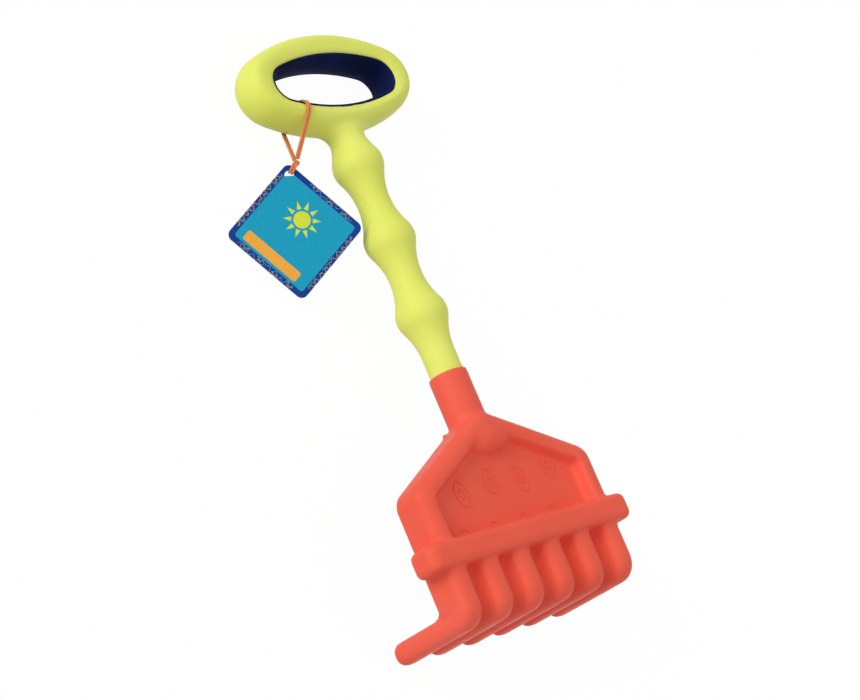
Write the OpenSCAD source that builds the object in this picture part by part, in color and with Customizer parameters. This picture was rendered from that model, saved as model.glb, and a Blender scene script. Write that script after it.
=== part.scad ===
// Toy sand rake: an oval ring handle on a wavy stem, pushed into a six-toothed head, with a hang tag.
// The rake lies as it is put down: on its tooth tips and on the back of the ring, front face up.
// Each rigid piece is drawn in the rake's own frame first (x across, y up the stem from the middle
// bulge, z out of the front face) and is then laid down by put_down().

/* [Stem] */
// Distance from one bulge of the stem to the next
wave_pitch = 60; // [50:1:70]
// Diameter across a bulge
bulge_d = 38; // [32:0.5:44]
// Radius of a bulge's rounded crown, seen from the side
bulge_crown_r = 18; // [12:1:22]
// Diameter of the stem in the hollows between bulges, and where it enters the socket
waist_d = 24.6; // [20:0.2:28]
// Wall of the hollow handle
handle_wall = 2.4; // [1.6:0.1:3]
// Length of stem from the middle of the top bulge to the ring
neck_h = 27.2; // [24:0.2:36]
// Radius of the blend between the neck and the ring
neck_blend_r = 14; // [6:0.5:20]
// Length of straight stem between the last hollow and the socket
shank_h = 16.6; // [8:0.2:30]
// Length of stem held inside the socket
spigot_len = 44; // [30:1:46]
// Height of the snap bead round the spigot
snap_h = 0.8; // [0.4:0.1:1.2]
// Radius of the snap bead, seen from the side
snap_r = 2; // [1.4:0.1:3]

/* [Ring] */
// Width of the ring handle
ring_w = 149.6; // [140:0.2:170]
// Height of the ring handle, along the stem
ring_h = 77.6; // [74:0.2:90]
// Depth of the ring, front to back
ring_depth = 32; // [30:1:36]
// Radius of the ring's outline at its two narrow ends
ring_end_r = 26.8; // [24:0.2:30]
// Radius of the rolled outer edge of the ring
ring_edge_r = 8; // [6:0.5:9]
// Radius of the ring's outer wall across its depth
ring_crown_r = 26; // [22:1:40]
// Width of the finger hole before the liner goes in
hole_w = 111.6; // [96:0.2:116]
// Height of the finger hole before the liner goes in
hole_h = 43.6; // [38:0.1:46]
// Radius of the hole's outline at its two narrow ends
hole_end_r = 15; // [12:0.5:18]
// How far the hole sits nearer to the stem than the ring's middle
hole_drop = 2.3; // [0:0.1:3]
// Radius that softens the ring's face towards the hole
hole_edge_r = 7.5; // [5:0.5:7.5]

/* [Grip liner] */
// Depth of the liner, front to back
liner_depth = 28.6; // [24:0.2:29.4]
// How far the liner swells into the hole
liner_crown = 4.6; // [2:0.2:6]
// How deep the liner is let into the ring
liner_seat = 1.5; // [0.8:0.1:2]
// Ring wall left in front of and behind the liner's seat
seat_lip = 1.6; // [1:0.1:3]
// Gap between the liner and the ring
liner_gap = 0.1; // [0.05:0.05:0.3]

/* [Rake head] */
// Outside diameter of the socket that takes the stem
socket_d = 28.4; // [27:0.2:34]
// Gap between the spigot and the socket, on each side
socket_gap = 0.1; // [0.05:0.05:0.3]
// Straight length of the socket above its ball end
socket_len = 51.4; // [48:0.2:60]
// Distance from the socket's mouth down to the point where the two shoulders would meet
shoulder_drop = 31.7; // [20:0.1:40]
// Angle at which the shoulders fall away from the stem
shoulder_slope = 29; // [20:1:35]
// Width of the head's pan
pan_w = 166; // [150:1:180]
// Height of the pan, from its lower edge to the point where the shoulders would meet
pan_h = 103.7; // [96:0.1:120]
// Radius of the pan's corners
pan_corner_r = 14; // [13:0.5:18]
// Radius of the pan's rolled front edge, on the outside
rim_outer_r = 9.5; // [7:0.5:9.5]
// Radius of the pan's rolled front edge, on the inside
rim_inner_r = 4; // [2:0.5:4]
// Depth of the recess below the rim's crest
recess_depth = 9.5; // [8:0.5:11]
// Thickness of the head from its back to the floor of the recess
pan_floor_h = 21; // [18:0.5:28]
// How far the head's back lies behind the stem's axis
back_set = 12; // [10:0.5:13]
// Radius of the head's back edge
back_edge_r = 4; // [2:0.5:6]
// Wall of the hollow head
head_wall = 2.6; // [2:0.1:3]

/* [Band] */
// Width of the band across the head
band_w = 192; // [184:1:206]
// Height of the band, along the stem
band_h = 19; // [15:0.5:24]
// Depth of the band, front to back
band_depth = 27.5; // [22:0.5:30]
// How far the band stands proud of the rim's crest
band_proud = 3; // [1:0.5:6]
// Radius of the band's upright corners
band_corner_r = 8; // [7:0.5:10]
// Radius of the band's long edges
band_edge_r = 6; // [4:0.5:7]

/* [Teeth] */
// Number of teeth
tooth_count = 6; // [2:1:6]
// Distance from one tooth to the next
tooth_pitch = 29.4; // [24:0.2:31]
// Width of a tooth
tooth_w = 18; // [15:0.2:20]
// Thickness of a tooth's leg
tooth_t = 16.5; // [15:0.5:20]
// Length of a tooth's leg behind the head's back
tooth_reach = 62; // [50:1:80]
// Height of a tooth from the band to its sole
tooth_drop = 41; // [36:1:54]
// How far the teeth's fronts lie behind the rim's crest
tooth_set = 1.5; // [0:0.5:4]
// Radius of the heel, where a rib bends back into its leg
heel_r = 16; // [14:0.5:18]
// Radius of a tooth's front and sole edges
tooth_edge_r = 7; // [4:0.5:7]
// Radius of a tooth's back edges
tooth_back_r = 3; // [2:0.5:4]
// Radius of the inside corner between a rib and its leg
crook_r = 5; // [3:0.5:8]

/* [Seed pattern] */
// Length of a seed outline on the recess floor
seed_l = 21; // [14:0.5:24]
// Width of a seed outline
seed_w = 10.5; // [7:0.5:12]
// Lean of the seeds to the stem
seed_lean = 7; // [0:1:15]
// Width of the raised line
seed_line = 0.7; // [0.5:0.1:1.2]
// Height of the raised line
seed_rise = 0.4; // [0.2:0.1:0.8]

/* [Hang tag] */
// Side of the square card
card_side = 70; // [54:0.5:74]
// Thickness of the card
card_t = 1; // [0.6:0.1:1.4]
// Radius of the card's corners
card_corner_r = 5; // [3:0.5:9]
// Diameter of the card's hole
card_hole_d = 7; // [5:0.5:8]
// Distance of the hole's middle from the point where the card's edges would meet
card_hole_in = 9.5; // [8:0.5:11]
// Diameter of the elastic tie round the ring
tie_d = 1.8; // [1.2:0.1:2]
// Distance between the tie's two strands
tie_pitch = 2.2; // [2.2:0.1:3]
// Diameter of the elastic where it passes through the card
eye_d = 1.8; // [1.2:0.1:2]
// Diameter of the tie's knot
knot_d = 5.5; // [4:0.5:6]

/* [Hidden] */
$fn = 96;
lime = "#e2e671";
navy = "#1d2d5a";
coral = "#f36a56";
orange = "#ee9a4a";
card_blue = "#2fa3c2";
// One overrun serves every cut
over = 1;
half_turn = 180;
quarter_turn = 90;

// Stem: a crown and the hollow beside it touch, and their centres lie crown_to_hollow apart
bulge_r = bulge_d / 2;
waist_r = waist_d / 2;
half_pitch = wave_pitch / 2;
crown_x = bulge_r - bulge_crown_r;
crown_to_hollow = (pow(bulge_r - waist_r, 2) + pow(half_pitch, 2)) / (2 * (bulge_r - waist_r));
hollow_r = crown_to_hollow - bulge_crown_r;
hollow_x = waist_r + hollow_r;
wave_turn = asin(half_pitch / crown_to_hollow);
top_hollow_y = wave_pitch + half_pitch;
mouth_y = -top_hollow_y - shank_h;
spigot_end_y = mouth_y - spigot_len;
snap_y = mouth_y - spigot_len * 3 / 4;

// Ring: each outline is an oval of four arcs, two at its ends and two along its sides
function side_r(a, b, r) = (pow(a - r, 2) + pow(b, 2) - pow(r, 2)) / (2 * (b - r));
function side_c(a, b, r) = side_r(a, b, r) - b;
function side_turn(a, b, r) = atan((a - r) / side_c(a, b, r));
ring_a = ring_w / 2;
ring_b = ring_h / 2;
hole_a = hole_w / 2;
hole_b = hole_h / 2;
ring_y = wave_pitch + neck_h + ring_b;
hole_y = ring_y - hole_drop;
ring_hd = ring_depth / 2;
ring_low_y = ring_y - ring_b;
bar_h = ring_b - hole_drop - hole_b;
// How far the rolled edge's centre lies inside the ring's outline
roll_in = ring_crown_r - sqrt(pow(ring_crown_r - ring_edge_r, 2) - pow(ring_hd - ring_edge_r, 2));
roll_turn = asin((ring_hd - ring_edge_r) / (ring_crown_r - ring_edge_r));
// The neck's blend touches the neck's wall and the ring's lower side
blend_x = waist_r + neck_blend_r;
ring_side_r = side_r(ring_a, ring_b, ring_end_r);
ring_side_c = side_c(ring_a, ring_b, ring_end_r);
blend_y = ring_y + ring_side_c - sqrt(pow(ring_side_r + neck_blend_r, 2) - pow(blend_x, 2));
blend_top_x = blend_x * ring_side_r / (ring_side_r + neck_blend_r);
blend_top_y = ring_low_y + bar_h / 2;

// Grip liner
liner_hd = liner_depth / 2;
seat_hd = liner_hd - seat_lip;
liner_r = (pow(liner_hd, 2) + pow(liner_crown, 2)) / (2 * liner_crown);
hole_edge_z = ring_hd - hole_edge_r;
hole_edge_turn = asin((liner_hd - hole_edge_z) / hole_edge_r);
hole_edge_run = hole_edge_r * cos(hole_edge_turn);

// Rake head
socket_r = socket_d / 2;
bore_r = waist_r + socket_gap;
ball_y = mouth_y - socket_len;
bore_end_y = spigot_end_y - socket_gap;
back_z = -back_set;
floor_z = back_z + pan_floor_h;
crest_z = floor_z + recess_depth;
apex_y = mouth_y - shoulder_drop;
pan_low_y = apex_y - pan_h;
// Centres of the pan's rounded corners
corner_x = pan_w / 2 - pan_corner_r;
corner_apex_y = apex_y - pan_corner_r / cos(shoulder_slope);
corner_side_y = corner_apex_y - corner_x * tan(shoulder_slope);
corner_low_y = pan_low_y + pan_corner_r;
PAN = [
    [-corner_x, corner_low_y],
    [corner_x, corner_low_y],
    [corner_x, corner_side_y],
    [0, corner_apex_y],
    [-corner_x, corner_side_y]
];
rim_x = pan_corner_r - rim_outer_r;
rim_foot_x = rim_x - rim_inner_r;

// Band
band_front_z = crest_z + band_proud;
band_back_z = band_front_z - band_depth;
band_y = pan_low_y + band_h;

// Teeth: the heel's centre lies heel_r behind the tooth's front and above its sole
tooth_front_z = crest_z - tooth_set;
sole_y = pan_low_y - tooth_drop;
heel_y = sole_y + heel_r;
heel_z = tooth_front_z - heel_r;
rib_back = heel_z - back_z;
leg_top = tooth_t - heel_r;
tip_r = tooth_t / 2;
tip_z = back_z - tooth_reach + tip_r;
leg_len = heel_z - tip_z;
// The ribs run up into the band's lower half
riser_len = pan_low_y + band_h / 3 - heel_y;
// A square bar leaves the head's wall at a tooth's rounded edges when it lies this far inside
core_in = tooth_edge_r - (tooth_edge_r - head_wall) / sqrt(2);
core_low_y = sole_y + tooth_t - core_in - over;
core_front = sqrt(pow(heel_r - core_in, 2) - pow(heel_y - core_low_y, 2));
first_tooth_x = -tooth_pitch * (tooth_count - 1) / 2;
// A groove is as wide as the space between two teeth, and its round floor meets their flat sides
groove_r = (tooth_pitch - tooth_w) / 2;
groove_axis = heel_r - tooth_edge_r;

// Seeds: places on the recess floor, as shares of the pan's half width and of its height
seed_top_x_shares = [-0.47, -0.13, 0.2, 0.54];
seed_top_y_shares = [0.462, 0.5, 0.471, 0.515];
seed_low_x_shares = [-0.6, -0.27, 0.07, 0.41];
seed_low_y_share = 0.145;
seed_kernel_share = 0.42;

// Lying: a line touches the round tooth tips and the rolled back edge of the ring's far end
ring_rest_y = ring_y + ring_b - roll_in;
ring_rest_z = ring_edge_r - ring_hd;
tip_y = sole_y + tip_r;
rest_rise = ring_rest_z - tip_z;
rest_run = ring_rest_y - tip_y;
lie_angle = atan(rest_rise / rest_run) + asin((tip_r - ring_edge_r) / norm([rest_rise, rest_run]));
ring_end_y = (ring_y + ring_b - ring_crown_r) * cos(lie_angle) + ring_crown_r;
tip_end_y = tip_y * cos(lie_angle) + tip_z * sin(lie_angle) - tip_r;
lie_y = -(ring_end_y + tip_end_y) / 2;
lie_z = ring_rest_y * sin(lie_angle) - ring_rest_z * cos(lie_angle) + ring_edge_r;

// Hang tag: the card leans from the floor towards the stem, and its hole is near its top corner
card_at = [-66.5, 83.5, 19.6];
card_turn = [21.9, -11, -57.2];
card_half = card_side / 2;
card_hole_xy = card_half - card_hole_in / sqrt(2);
// The knot and the strand through the card's hole, in the card's frame
knot_at = [-30.5, 38.4, 0.7];
EYE_ROUTE = [
    [-30.4, 37.8, 1.6],
    [-30.1, 36.2, 2.2],
    [-29.6, 34.2, 2.4],
    [-29.2, 32.4, 2.2],
    [-28.9, 31, 1.5],
    [-28.8, 30.5, 0],
    [-28.9, 31, -1.5],
    [-29.2, 32.4, -2.2],
    [-29.6, 34.2, -2.4],
    [-30.1, 36.2, -1.8],
    [-30.4, 37.8, -0.2]
];
// The tie's route round the ring, from the ring's outline: along it, inwards, and to the front
tie_x = -40;
tie_y = ring_y + ring_side_c - sqrt(pow(ring_side_r, 2) - pow(tie_x, 2));
tie_turn = asin(tie_x / ring_side_r);
TIE_ROUTE = [
    [-5.4, -26.4, 2.5],
    [-3.9, -18, 6.2],
    [-2.8, -12, 8.9],
    [-1.8, -6, 11.5],
    [-0.8, 0, 14.2],
    [0, 4.6, 16.2],
    [0, 9, 17.4],
    [-0.2, 13, 16.4],
    [-0.4, 16.2, 13.2],
    [-0.6, 18.6, 7.2],
    [-0.8, 19.4, 0],
    [-0.8, 18.6, -7.2],
    [-0.8, 16.2, -13.2],
    [-0.8, 13, -16.4],
    [-0.8, 9, -17.4],
    [-1, 4.6, -16.2],
    [-1.6, 0, -14],
    [-2.4, -6, -10.9],
    [-3.3, -12, -7.9],
    [-4.2, -18, -4.8],
    [-5.4, -26, -0.7]
];
TUBE_SIDES = 8;
// Steps round each of an oval's four arcs, along a rolled edge, across a crown and up the stem's waves
OVAL_STEPS = 14;
ROLL_STEPS = 4;
CROWN_STEPS = 6;
WAVE_STEPS = 12;
// Steps round each of the pan's corners
PAN_STEPS = 8;

// Lays a piece down from the rake's own frame
module put_down() {
    translate([0, lie_y, lie_z])
        rotate([-lie_angle, 0, 0])
            children();
}

// Points along an arc
function arc(middle, r, from, to, steps) = [for (i = [0 : steps])
    let (turn = from + (to - from) * i / steps)
    middle + r * [cos(turn), sin(turn)]];

// Stations round an oval of four arcs: each is a point and the way out from it
function oval_stations(a, b, r) =
    let (side = side_r(a, b, r), middle = side_c(a, b, r), side_half = side_turn(a, b, r))
    [for (k = [0 : 3], i = [0 : OVAL_STEPS - 1])
        let (
            at_end = k % 2 == 0,
            half = at_end ? quarter_turn - side_half : side_half,
            turn = k * quarter_turn - half + 2 * half * i / OVAL_STEPS,
            way = k < 2 ? 1 : -1,
            from = at_end ? [way * (a - r), 0] : [0, -way * middle],
            out = [cos(turn), sin(turn)]
        )
        [from + (at_end ? r : side) * out, out]];

// An outline carried to a station: its x runs outwards, its y is the depth
function carried(outline, station) = [for (p = outline)
    [station[0][0] + p[0] * station[1][0], station[0][1] + p[0] * station[1][1], p[1]]];

// Closed sweep through a ring of outlines that have as many points each
module closed_sweep(outlines) {
    count = len(outlines);
    points = len(outlines[0]);
    polyhedron(
        [for (outline = outlines) each outline],
        [for (i = [0 : count - 1], k = [0 : points - 1])
            let (here = i * points, beyond = (i + 1) % count * points, next = (k + 1) % points)
            each [[here + k, here + next, beyond + k], [here + next, beyond + next, beyond + k]]]
    );
}

// Rounded upright bar along a closed row of corner centres: the outline's x runs outwards
module sweep_corners(centres) {
    count = len(centres);
    for (i = [0 : count - 1]) {
        here = centres[i];
        next = centres[(i + 1) % count];
        last = centres[(i + count - 1) % count];
        run = next - here;
        came = here - last;
        out_next = atan2(-run[0], run[1]);
        out_last = atan2(-came[0], came[1]);
        bend = (out_next - out_last + 2 * half_turn) % (2 * half_turn);
        translate([next[0], next[1], 0])
            rotate([quarter_turn, 0, out_next])
                linear_extrude(norm(run))
                    children();
        translate([here[0], here[1], 0])
            rotate([0, 0, out_last])
                rotate_extrude(angle = bend)
                    children();
    }
}

// Lengthwise section of the stem, drawn in by a wall, up to a given height
function stem_points(wall, top_y) =
    let (
        crown = bulge_crown_r - wall,
        hollow = hollow_r + wall,
        low_y = spigot_end_y + wall,
        rod_r = waist_r - wall
    )
    [
        [0, low_y],
        [rod_r, low_y],
        each arc([hollow_x, -top_hollow_y], hollow, half_turn, half_turn - wave_turn, WAVE_STEPS),
        each [for (y = [-wave_pitch : wave_pitch : wave_pitch]) each [
            each arc([crown_x, y], crown, -wave_turn, wave_turn, WAVE_STEPS),
            each y < wave_pitch
                ? arc([hollow_x, y + half_pitch], hollow, half_turn + wave_turn, half_turn - wave_turn, WAVE_STEPS)
                : arc([hollow_x, y + half_pitch], hollow, half_turn + wave_turn, half_turn, WAVE_STEPS)
        ]],
        [rod_r, top_y],
        [0, top_y]
    ];

// Revolves a lengthwise section about the stem's axis
module turn_stem() {
    rotate([-quarter_turn, 0, 0])
        rotate_extrude()
            children();
}

module stem() {
    turn_stem() {
        polygon(stem_points(0, blend_top_y));
        translate([waist_r - snap_r + snap_h, snap_y])
            circle(snap_r);
    }
    // The neck spreads into the ring, no deeper than the neck
    intersection() {
        turn_stem()
            difference() {
                translate([0, blend_y])
                    square([blend_top_x, blend_top_y - blend_y]);
                translate([blend_x, blend_y])
                    circle(neck_blend_r);
            }
        translate([-ring_a, blend_y - over, -waist_r])
            cube([ring_w, ring_b, waist_d]);
    }
}

module stem_cavity() {
    turn_stem()
        polygon(stem_points(handle_wall, blend_top_y));
}

// Section of the ring's rolled outer wall, drawn in by a wall
function ring_roll(wall) = [
    each arc([-roll_in, ring_edge_r - ring_hd], ring_edge_r - wall, -quarter_turn, -roll_turn, ROLL_STEPS),
    each arc([-ring_crown_r, 0], ring_crown_r - wall, -roll_turn, roll_turn, CROWN_STEPS),
    each arc([-roll_in, ring_hd - ring_edge_r], ring_edge_r - wall, roll_turn, quarter_turn, ROLL_STEPS)
];

// Section of the ring towards the hole, with the liner's seat
function ring_seat() =
    let (seat_z = seat_hd + liner_gap, far_turn = half_turn - hole_edge_turn)
    [
        each arc([hole_edge_run, hole_edge_z], hole_edge_r, quarter_turn, far_turn, ROLL_STEPS),
        [0, seat_z],
        [liner_seat, seat_z],
        [liner_seat, -seat_z],
        [0, -seat_z],
        each arc([hole_edge_run, -hole_edge_z], hole_edge_r, -far_turn, -quarter_turn, ROLL_STEPS)
    ];

module ring_body() {
    outer = oval_stations(ring_a, ring_b, ring_end_r);
    inner = oval_stations(hole_a, hole_b, hole_end_r);
    closed_sweep([for (i = [0 : len(outer) - 1]) concat(
        carried(ring_roll(0), [outer[i][0] + [0, ring_y], outer[i][1]]),
        carried(ring_seat(), [inner[i][0] + [0, hole_y], inner[i][1]])
    )]);
}

module ring_cavity() {
    cavity_in = bar_h - liner_seat - handle_wall;
    cavity_hd = ring_hd - handle_wall;
    section = concat(ring_roll(handle_wall), [[-cavity_in, cavity_hd], [-cavity_in, -cavity_hd]]);
    stations = oval_stations(ring_a, ring_b, ring_end_r);
    closed_sweep([for (station = stations) carried(section, [station[0] + [0, ring_y], station[1]])]);
}

module handle() {
    color(lime)
        put_down()
            difference() {
                union() {
                    ring_body();
                    stem();
                }
                stem_cavity();
                ring_cavity();
            }
}

module grip_liner() {
    half_swell = asin(liner_hd / liner_r);
    swell = arc([-liner_crown + liner_r, 0], liner_r, half_turn - half_swell, half_turn + half_swell, CROWN_STEPS);
    section = [for (p = concat([[liner_seat, -seat_hd], [liner_seat, seat_hd], [0, seat_hd]], swell, [[0, -seat_hd]]))
        p - [liner_gap, 0]];
    stations = oval_stations(hole_a, hole_b, hole_end_r);
    color(navy)
        put_down()
            closed_sweep([for (station = stations)
                carried(section, [station[0] + [0, hole_y], station[1]])]);
}

// Stations round the pan: each is a corner's centre and the way out from it
function pan_stations() =
    let (count = len(PAN))
    [for (i = [0 : count - 1])
        let (
            run = PAN[(i + 1) % count] - PAN[i],
            came = PAN[i] - PAN[(i + count - 1) % count],
            out_next = atan2(-run[0], run[1]),
            out_last = atan2(-came[0], came[1]),
            bend = (out_next - out_last + 2 * half_turn) % (2 * half_turn)
        )
        for (step = [0 : PAN_STEPS])
            let (turn = out_last + bend * step / PAN_STEPS)
            [PAN[i], [cos(turn), sin(turn)]]];

// The pan's outline, this far out from its corners' centres
function pan_outline(out) = [for (station = pan_stations()) station[0] + out * station[1]];

// Closed loft through outlines that have as many points each, flat at both ends
module loft(outlines) {
    last = len(outlines) - 1;
    points = len(outlines[0]);
    polyhedron(
        [for (outline = outlines) each outline],
        concat(
            [[for (k = [0 : points - 1]) k]],
            [for (i = [0 : last - 1], k = [0 : points - 1])
                let (here = i * points, beyond = (i + 1) * points, next = (k + 1) % points)
                each [[here + k, beyond + k, here + next], [here + next, beyond + k, beyond + next]]],
            [[for (k = [points - 1 : -1 : 0]) last * points + k]]
        )
    );
}

// The pan is drawn from its back, round its edge and rolled rim, and down to the recess floor
module pan() {
    section = [
        each arc([pan_corner_r - back_edge_r, back_z + back_edge_r], back_edge_r, -quarter_turn, 0, ROLL_STEPS),
        each arc([rim_x, crest_z - rim_outer_r], rim_outer_r, 0, quarter_turn, 2 * ROLL_STEPS),
        each arc([rim_x, crest_z - rim_inner_r], rim_inner_r, quarter_turn, half_turn, ROLL_STEPS),
        [rim_foot_x, floor_z]
    ];
    crest = ROLL_STEPS + 2 * ROLL_STEPS + 1;
    // The two rolls meet at the crest, which is drawn once
    loft([for (i = [0 : len(section) - 1])
        if (i != crest + 1)
            [for (p = pan_outline(section[i][0])) [p[0], p[1], section[i][1]]]]);
}

// The cavity ends below the socket's ball
module pan_cavity() {
    top_y = ball_y - socket_r - head_wall;
    translate([0, 0, back_z + head_wall])
        linear_extrude(pan_floor_h - 2 * head_wall)
            intersection() {
                polygon(pan_outline(pan_corner_r - back_edge_r));
                translate([-pan_w / 2, top_y - pan_h])
                    square([pan_w, pan_h]);
            }
}

module band() {
    // The bar is drawn upright, from the band's upper edge, and laid across the head
    half_x = band_w / 2 - band_corner_r;
    low_z = band_back_z + band_corner_r;
    high_z = band_front_z - band_corner_r;
    centres = [[-half_x, low_z], [half_x, low_z], [half_x, high_z], [-half_x, high_z]];
    translate([0, band_y, 0])
        rotate([quarter_turn, 0, 0]) {
            sweep_corners(centres)
                intersection() {
                    union() {
                        translate([0, band_edge_r])
                            square([band_corner_r, band_h - 2 * band_edge_r]);
                        square([band_corner_r - band_edge_r, band_h]);
                        for (y = [band_edge_r, band_h - band_edge_r])
                            translate([band_corner_r - band_edge_r, y])
                                circle(band_edge_r);
                    }
                    translate([0, -over])
                        square([band_corner_r + over, band_h + 2 * over]);
                }
            linear_extrude(band_h)
                polygon(centres);
        }
}

module band_cavity() {
    half_x = band_w / 2 - band_corner_r;
    translate([-half_x, pan_low_y + head_wall, band_back_z + band_edge_r])
        cube([2 * half_x, band_h - 2 * head_wall, band_depth - 2 * band_edge_r]);
}

// Carries an outline down the front, round the heel and back: its x runs across, its y out from the heel
module round_the_heel(up, back) {
    translate([0, heel_y + up, heel_z])
        rotate([quarter_turn, 0, 0])
            linear_extrude(up)
                children(0);
    translate([0, heel_y, heel_z])
        rotate([0, quarter_turn, 0])
            rotate([0, 0, half_turn])
                rotate_extrude(angle = quarter_turn)
                    rotate([0, 0, -quarter_turn])
                        children(1);
    translate([0, heel_y, heel_z])
        rotate([half_turn, 0, 0])
            linear_extrude(back)
                children(2);
}

// Bar across a tooth, between two distances from the heel's centre, with a radius at each face
module tooth_bar(half_w, inner, outer, inner_r, outer_r) {
    intersection() {
        union() {
            for (way = [-1, 1]) {
                translate([way * (half_w - outer_r), outer - outer_r])
                    circle(outer_r);
                if (inner_r > 0)
                    translate([way * (half_w - inner_r), inner + inner_r])
                        circle(inner_r);
            }
            translate([-half_w, inner + inner_r])
                square([2 * half_w, outer - outer_r - inner - inner_r]);
            translate([outer_r - half_w, inner])
                square([2 * (half_w - outer_r), outer - inner]);
            if (inner_r > 0)
                translate([inner_r - half_w, inner])
                    square([2 * (half_w - inner_r), outer - outer_r - inner]);
        }
        translate([-half_w - over, inner])
            square([2 * (half_w + over), outer - inner + over]);
    }
}

module tooth() {
    half_w = tooth_w / 2;
    round_the_heel(riser_len, leg_len) {
        tooth_bar(half_w, -rib_back, heel_r, tooth_back_r, tooth_edge_r);
        tooth_bar(half_w, 0, heel_r, 0, tooth_edge_r);
        tooth_bar(half_w, -leg_top, heel_r, tooth_edge_r, tooth_edge_r);
    }
    // Round tip
    translate([0, tip_y, tip_z])
        rotate([0, quarter_turn, 0])
            rotate([0, 0, -quarter_turn])
                rotate_extrude(angle = half_turn)
                    rotate([0, 0, -quarter_turn])
                        tooth_bar(half_w, 0, tip_r, 0, tooth_edge_r);
    // Inside corner between the rib's back and the top of the leg
    translate([tooth_back_r - half_w, sole_y + tooth_t, back_z])
        rotate([quarter_turn, 0, quarter_turn])
            linear_extrude(tooth_w - 2 * tooth_back_r)
                difference() {
                    translate([-tooth_edge_r / 2, -crook_r])
                        square([crook_r + tooth_edge_r / 2, crook_r + tooth_back_r]);
                    translate([crook_r, -crook_r])
                        circle(crook_r);
                }
}

// Square bars inside a tooth, one down the rib and one along the leg
module tooth_cavity() {
    half_w = tooth_w / 2 - core_in;
    translate([-half_w, core_low_y, back_z + head_wall])
        cube([2 * half_w, heel_y + riser_len - core_low_y, heel_z + core_front - back_z - head_wall]);
    translate([-half_w, sole_y + core_in, tip_z])
        cube([2 * half_w, tooth_t - 2 * core_in, leg_len]);
}

// Web that closes the space between two teeth, with a round groove down its front
module web() {
    web_w = tooth_pitch - tooth_w + 2 * tooth_back_r;
    round_the_heel(riser_len, rib_back) {
        difference() {
            translate([-web_w / 2, -rib_back])
                square([web_w, rib_back + groove_axis]);
            translate([0, groove_axis])
                circle(groove_r);
        }
        difference() {
            translate([-web_w / 2, 0])
                square([web_w, groove_axis]);
            translate([0, groove_axis])
                circle(groove_r);
        }
        difference() {
            translate([-web_w / 2, -over])
                square([web_w, groove_axis + over]);
            translate([0, groove_axis])
                circle(groove_r);
        }
    }
}

module seed_outline(drawn_in) {
    // Two arcs that cross at the seed's tips
    arc_r = (pow(seed_l, 2) + pow(seed_w, 2)) / (4 * seed_w);
    intersection_for (way = [-1, 1])
        translate([way * (arc_r - seed_w / 2), 0])
            circle(arc_r - drawn_in);
}

module seed(x, y) {
    translate([x, y, floor_z - over])
        rotate([0, 0, seed_lean])
            linear_extrude(seed_rise + over)
                for (scale_share = [1, seed_kernel_share])
                    difference() {
                        scale([scale_share, scale_share])
                            seed_outline(0);
                        scale([scale_share, scale_share])
                            seed_outline(seed_line / scale_share);
                    }
}

module seeds() {
    for (i = [0 : len(seed_top_x_shares) - 1])
        seed(seed_top_x_shares[i] * pan_w / 2, pan_low_y + seed_top_y_shares[i] * pan_h);
    for (share = seed_low_x_shares)
        seed(share * pan_w / 2, pan_low_y + seed_low_y_share * pan_h);
}

module stem_rod(r, top_y, end_y) {
    translate([0, top_y, 0])
        rotate([quarter_turn, 0, 0])
            cylinder(r = r, h = top_y - end_y);
}

module rake_head() {
    color(coral)
        put_down()
            difference() {
                union() {
                    difference() {
                        union() {
                            pan();
                            band();
                            for (i = [0 : tooth_count - 1])
                                translate([first_tooth_x + i * tooth_pitch, 0, 0])
                                    tooth();
                            for (i = [0 : tooth_count - 2])
                                translate([first_tooth_x + (i + 0.5) * tooth_pitch, 0, 0])
                                    web();
                        }
                        pan_cavity();
                        band_cavity();
                        for (i = [0 : tooth_count - 1])
                            translate([first_tooth_x + i * tooth_pitch, 0, 0])
                                tooth_cavity();
                    }
                    stem_rod(socket_r, mouth_y, ball_y);
                    translate([0, ball_y, 0])
                        sphere(socket_r);
                    seeds();
                }
                stem_rod(bore_r, mouth_y + over, bore_end_y);
                translate([0, snap_y, 0])
                    rotate([quarter_turn, 0, 0])
                        rotate_extrude()
                            translate([waist_r - snap_r + snap_h, 0])
                                circle(snap_r + socket_gap);
            }
}

// Tube swept along a route, with its rings square to the route
module tube(route, d) {
    last = len(route) - 1;
    function unit(v) = v / norm(v);
    function way(i) = unit(route[min(i + 1, last)] - route[max(i - 1, 0)]);
    function across(i) = unit(cross(way(i), [1, 0, 0]));
    function beside(i) = cross(way(i), across(i));
    turn = 2 * half_turn / TUBE_SIDES;
    points = [for (i = [0 : last], k = [0 : TUBE_SIDES - 1])
        route[i] + d / 2 * (cos(k * turn) * across(i) + sin(k * turn) * beside(i))];
    sides = [for (i = [0 : last - 1], k = [0 : TUBE_SIDES - 1])
        let (next = (k + 1) % TUBE_SIDES, here = i * TUBE_SIDES, beyond = (i + 1) * TUBE_SIDES)
        each [[here + k, beyond + k, here + next], [here + next, beyond + k, beyond + next]]];
    first_cap = [for (k = [1 : TUBE_SIDES - 2]) [0, k, k + 1]];
    end = last * TUBE_SIDES;
    last_cap = [for (k = [1 : TUBE_SIDES - 2]) [end, end + k + 1, end + k]];
    polyhedron(points, concat(sides, first_cap, last_cap));
}

module tag_tie() {
    color(orange)
        put_down()
            translate([tie_x, tie_y, 0])
                rotate([0, 0, tie_turn])
                    for (way = [-1, 1])
                        translate([way * tie_pitch / 2, 0, 0])
                            tube(TIE_ROUTE, tie_d);
}

module tie_knot() {
    color(orange)
        translate(card_at)
            rotate(card_turn) {
                translate(knot_at)
                    sphere(d = knot_d);
                tube(EYE_ROUTE, eye_d);
            }
}

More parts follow.
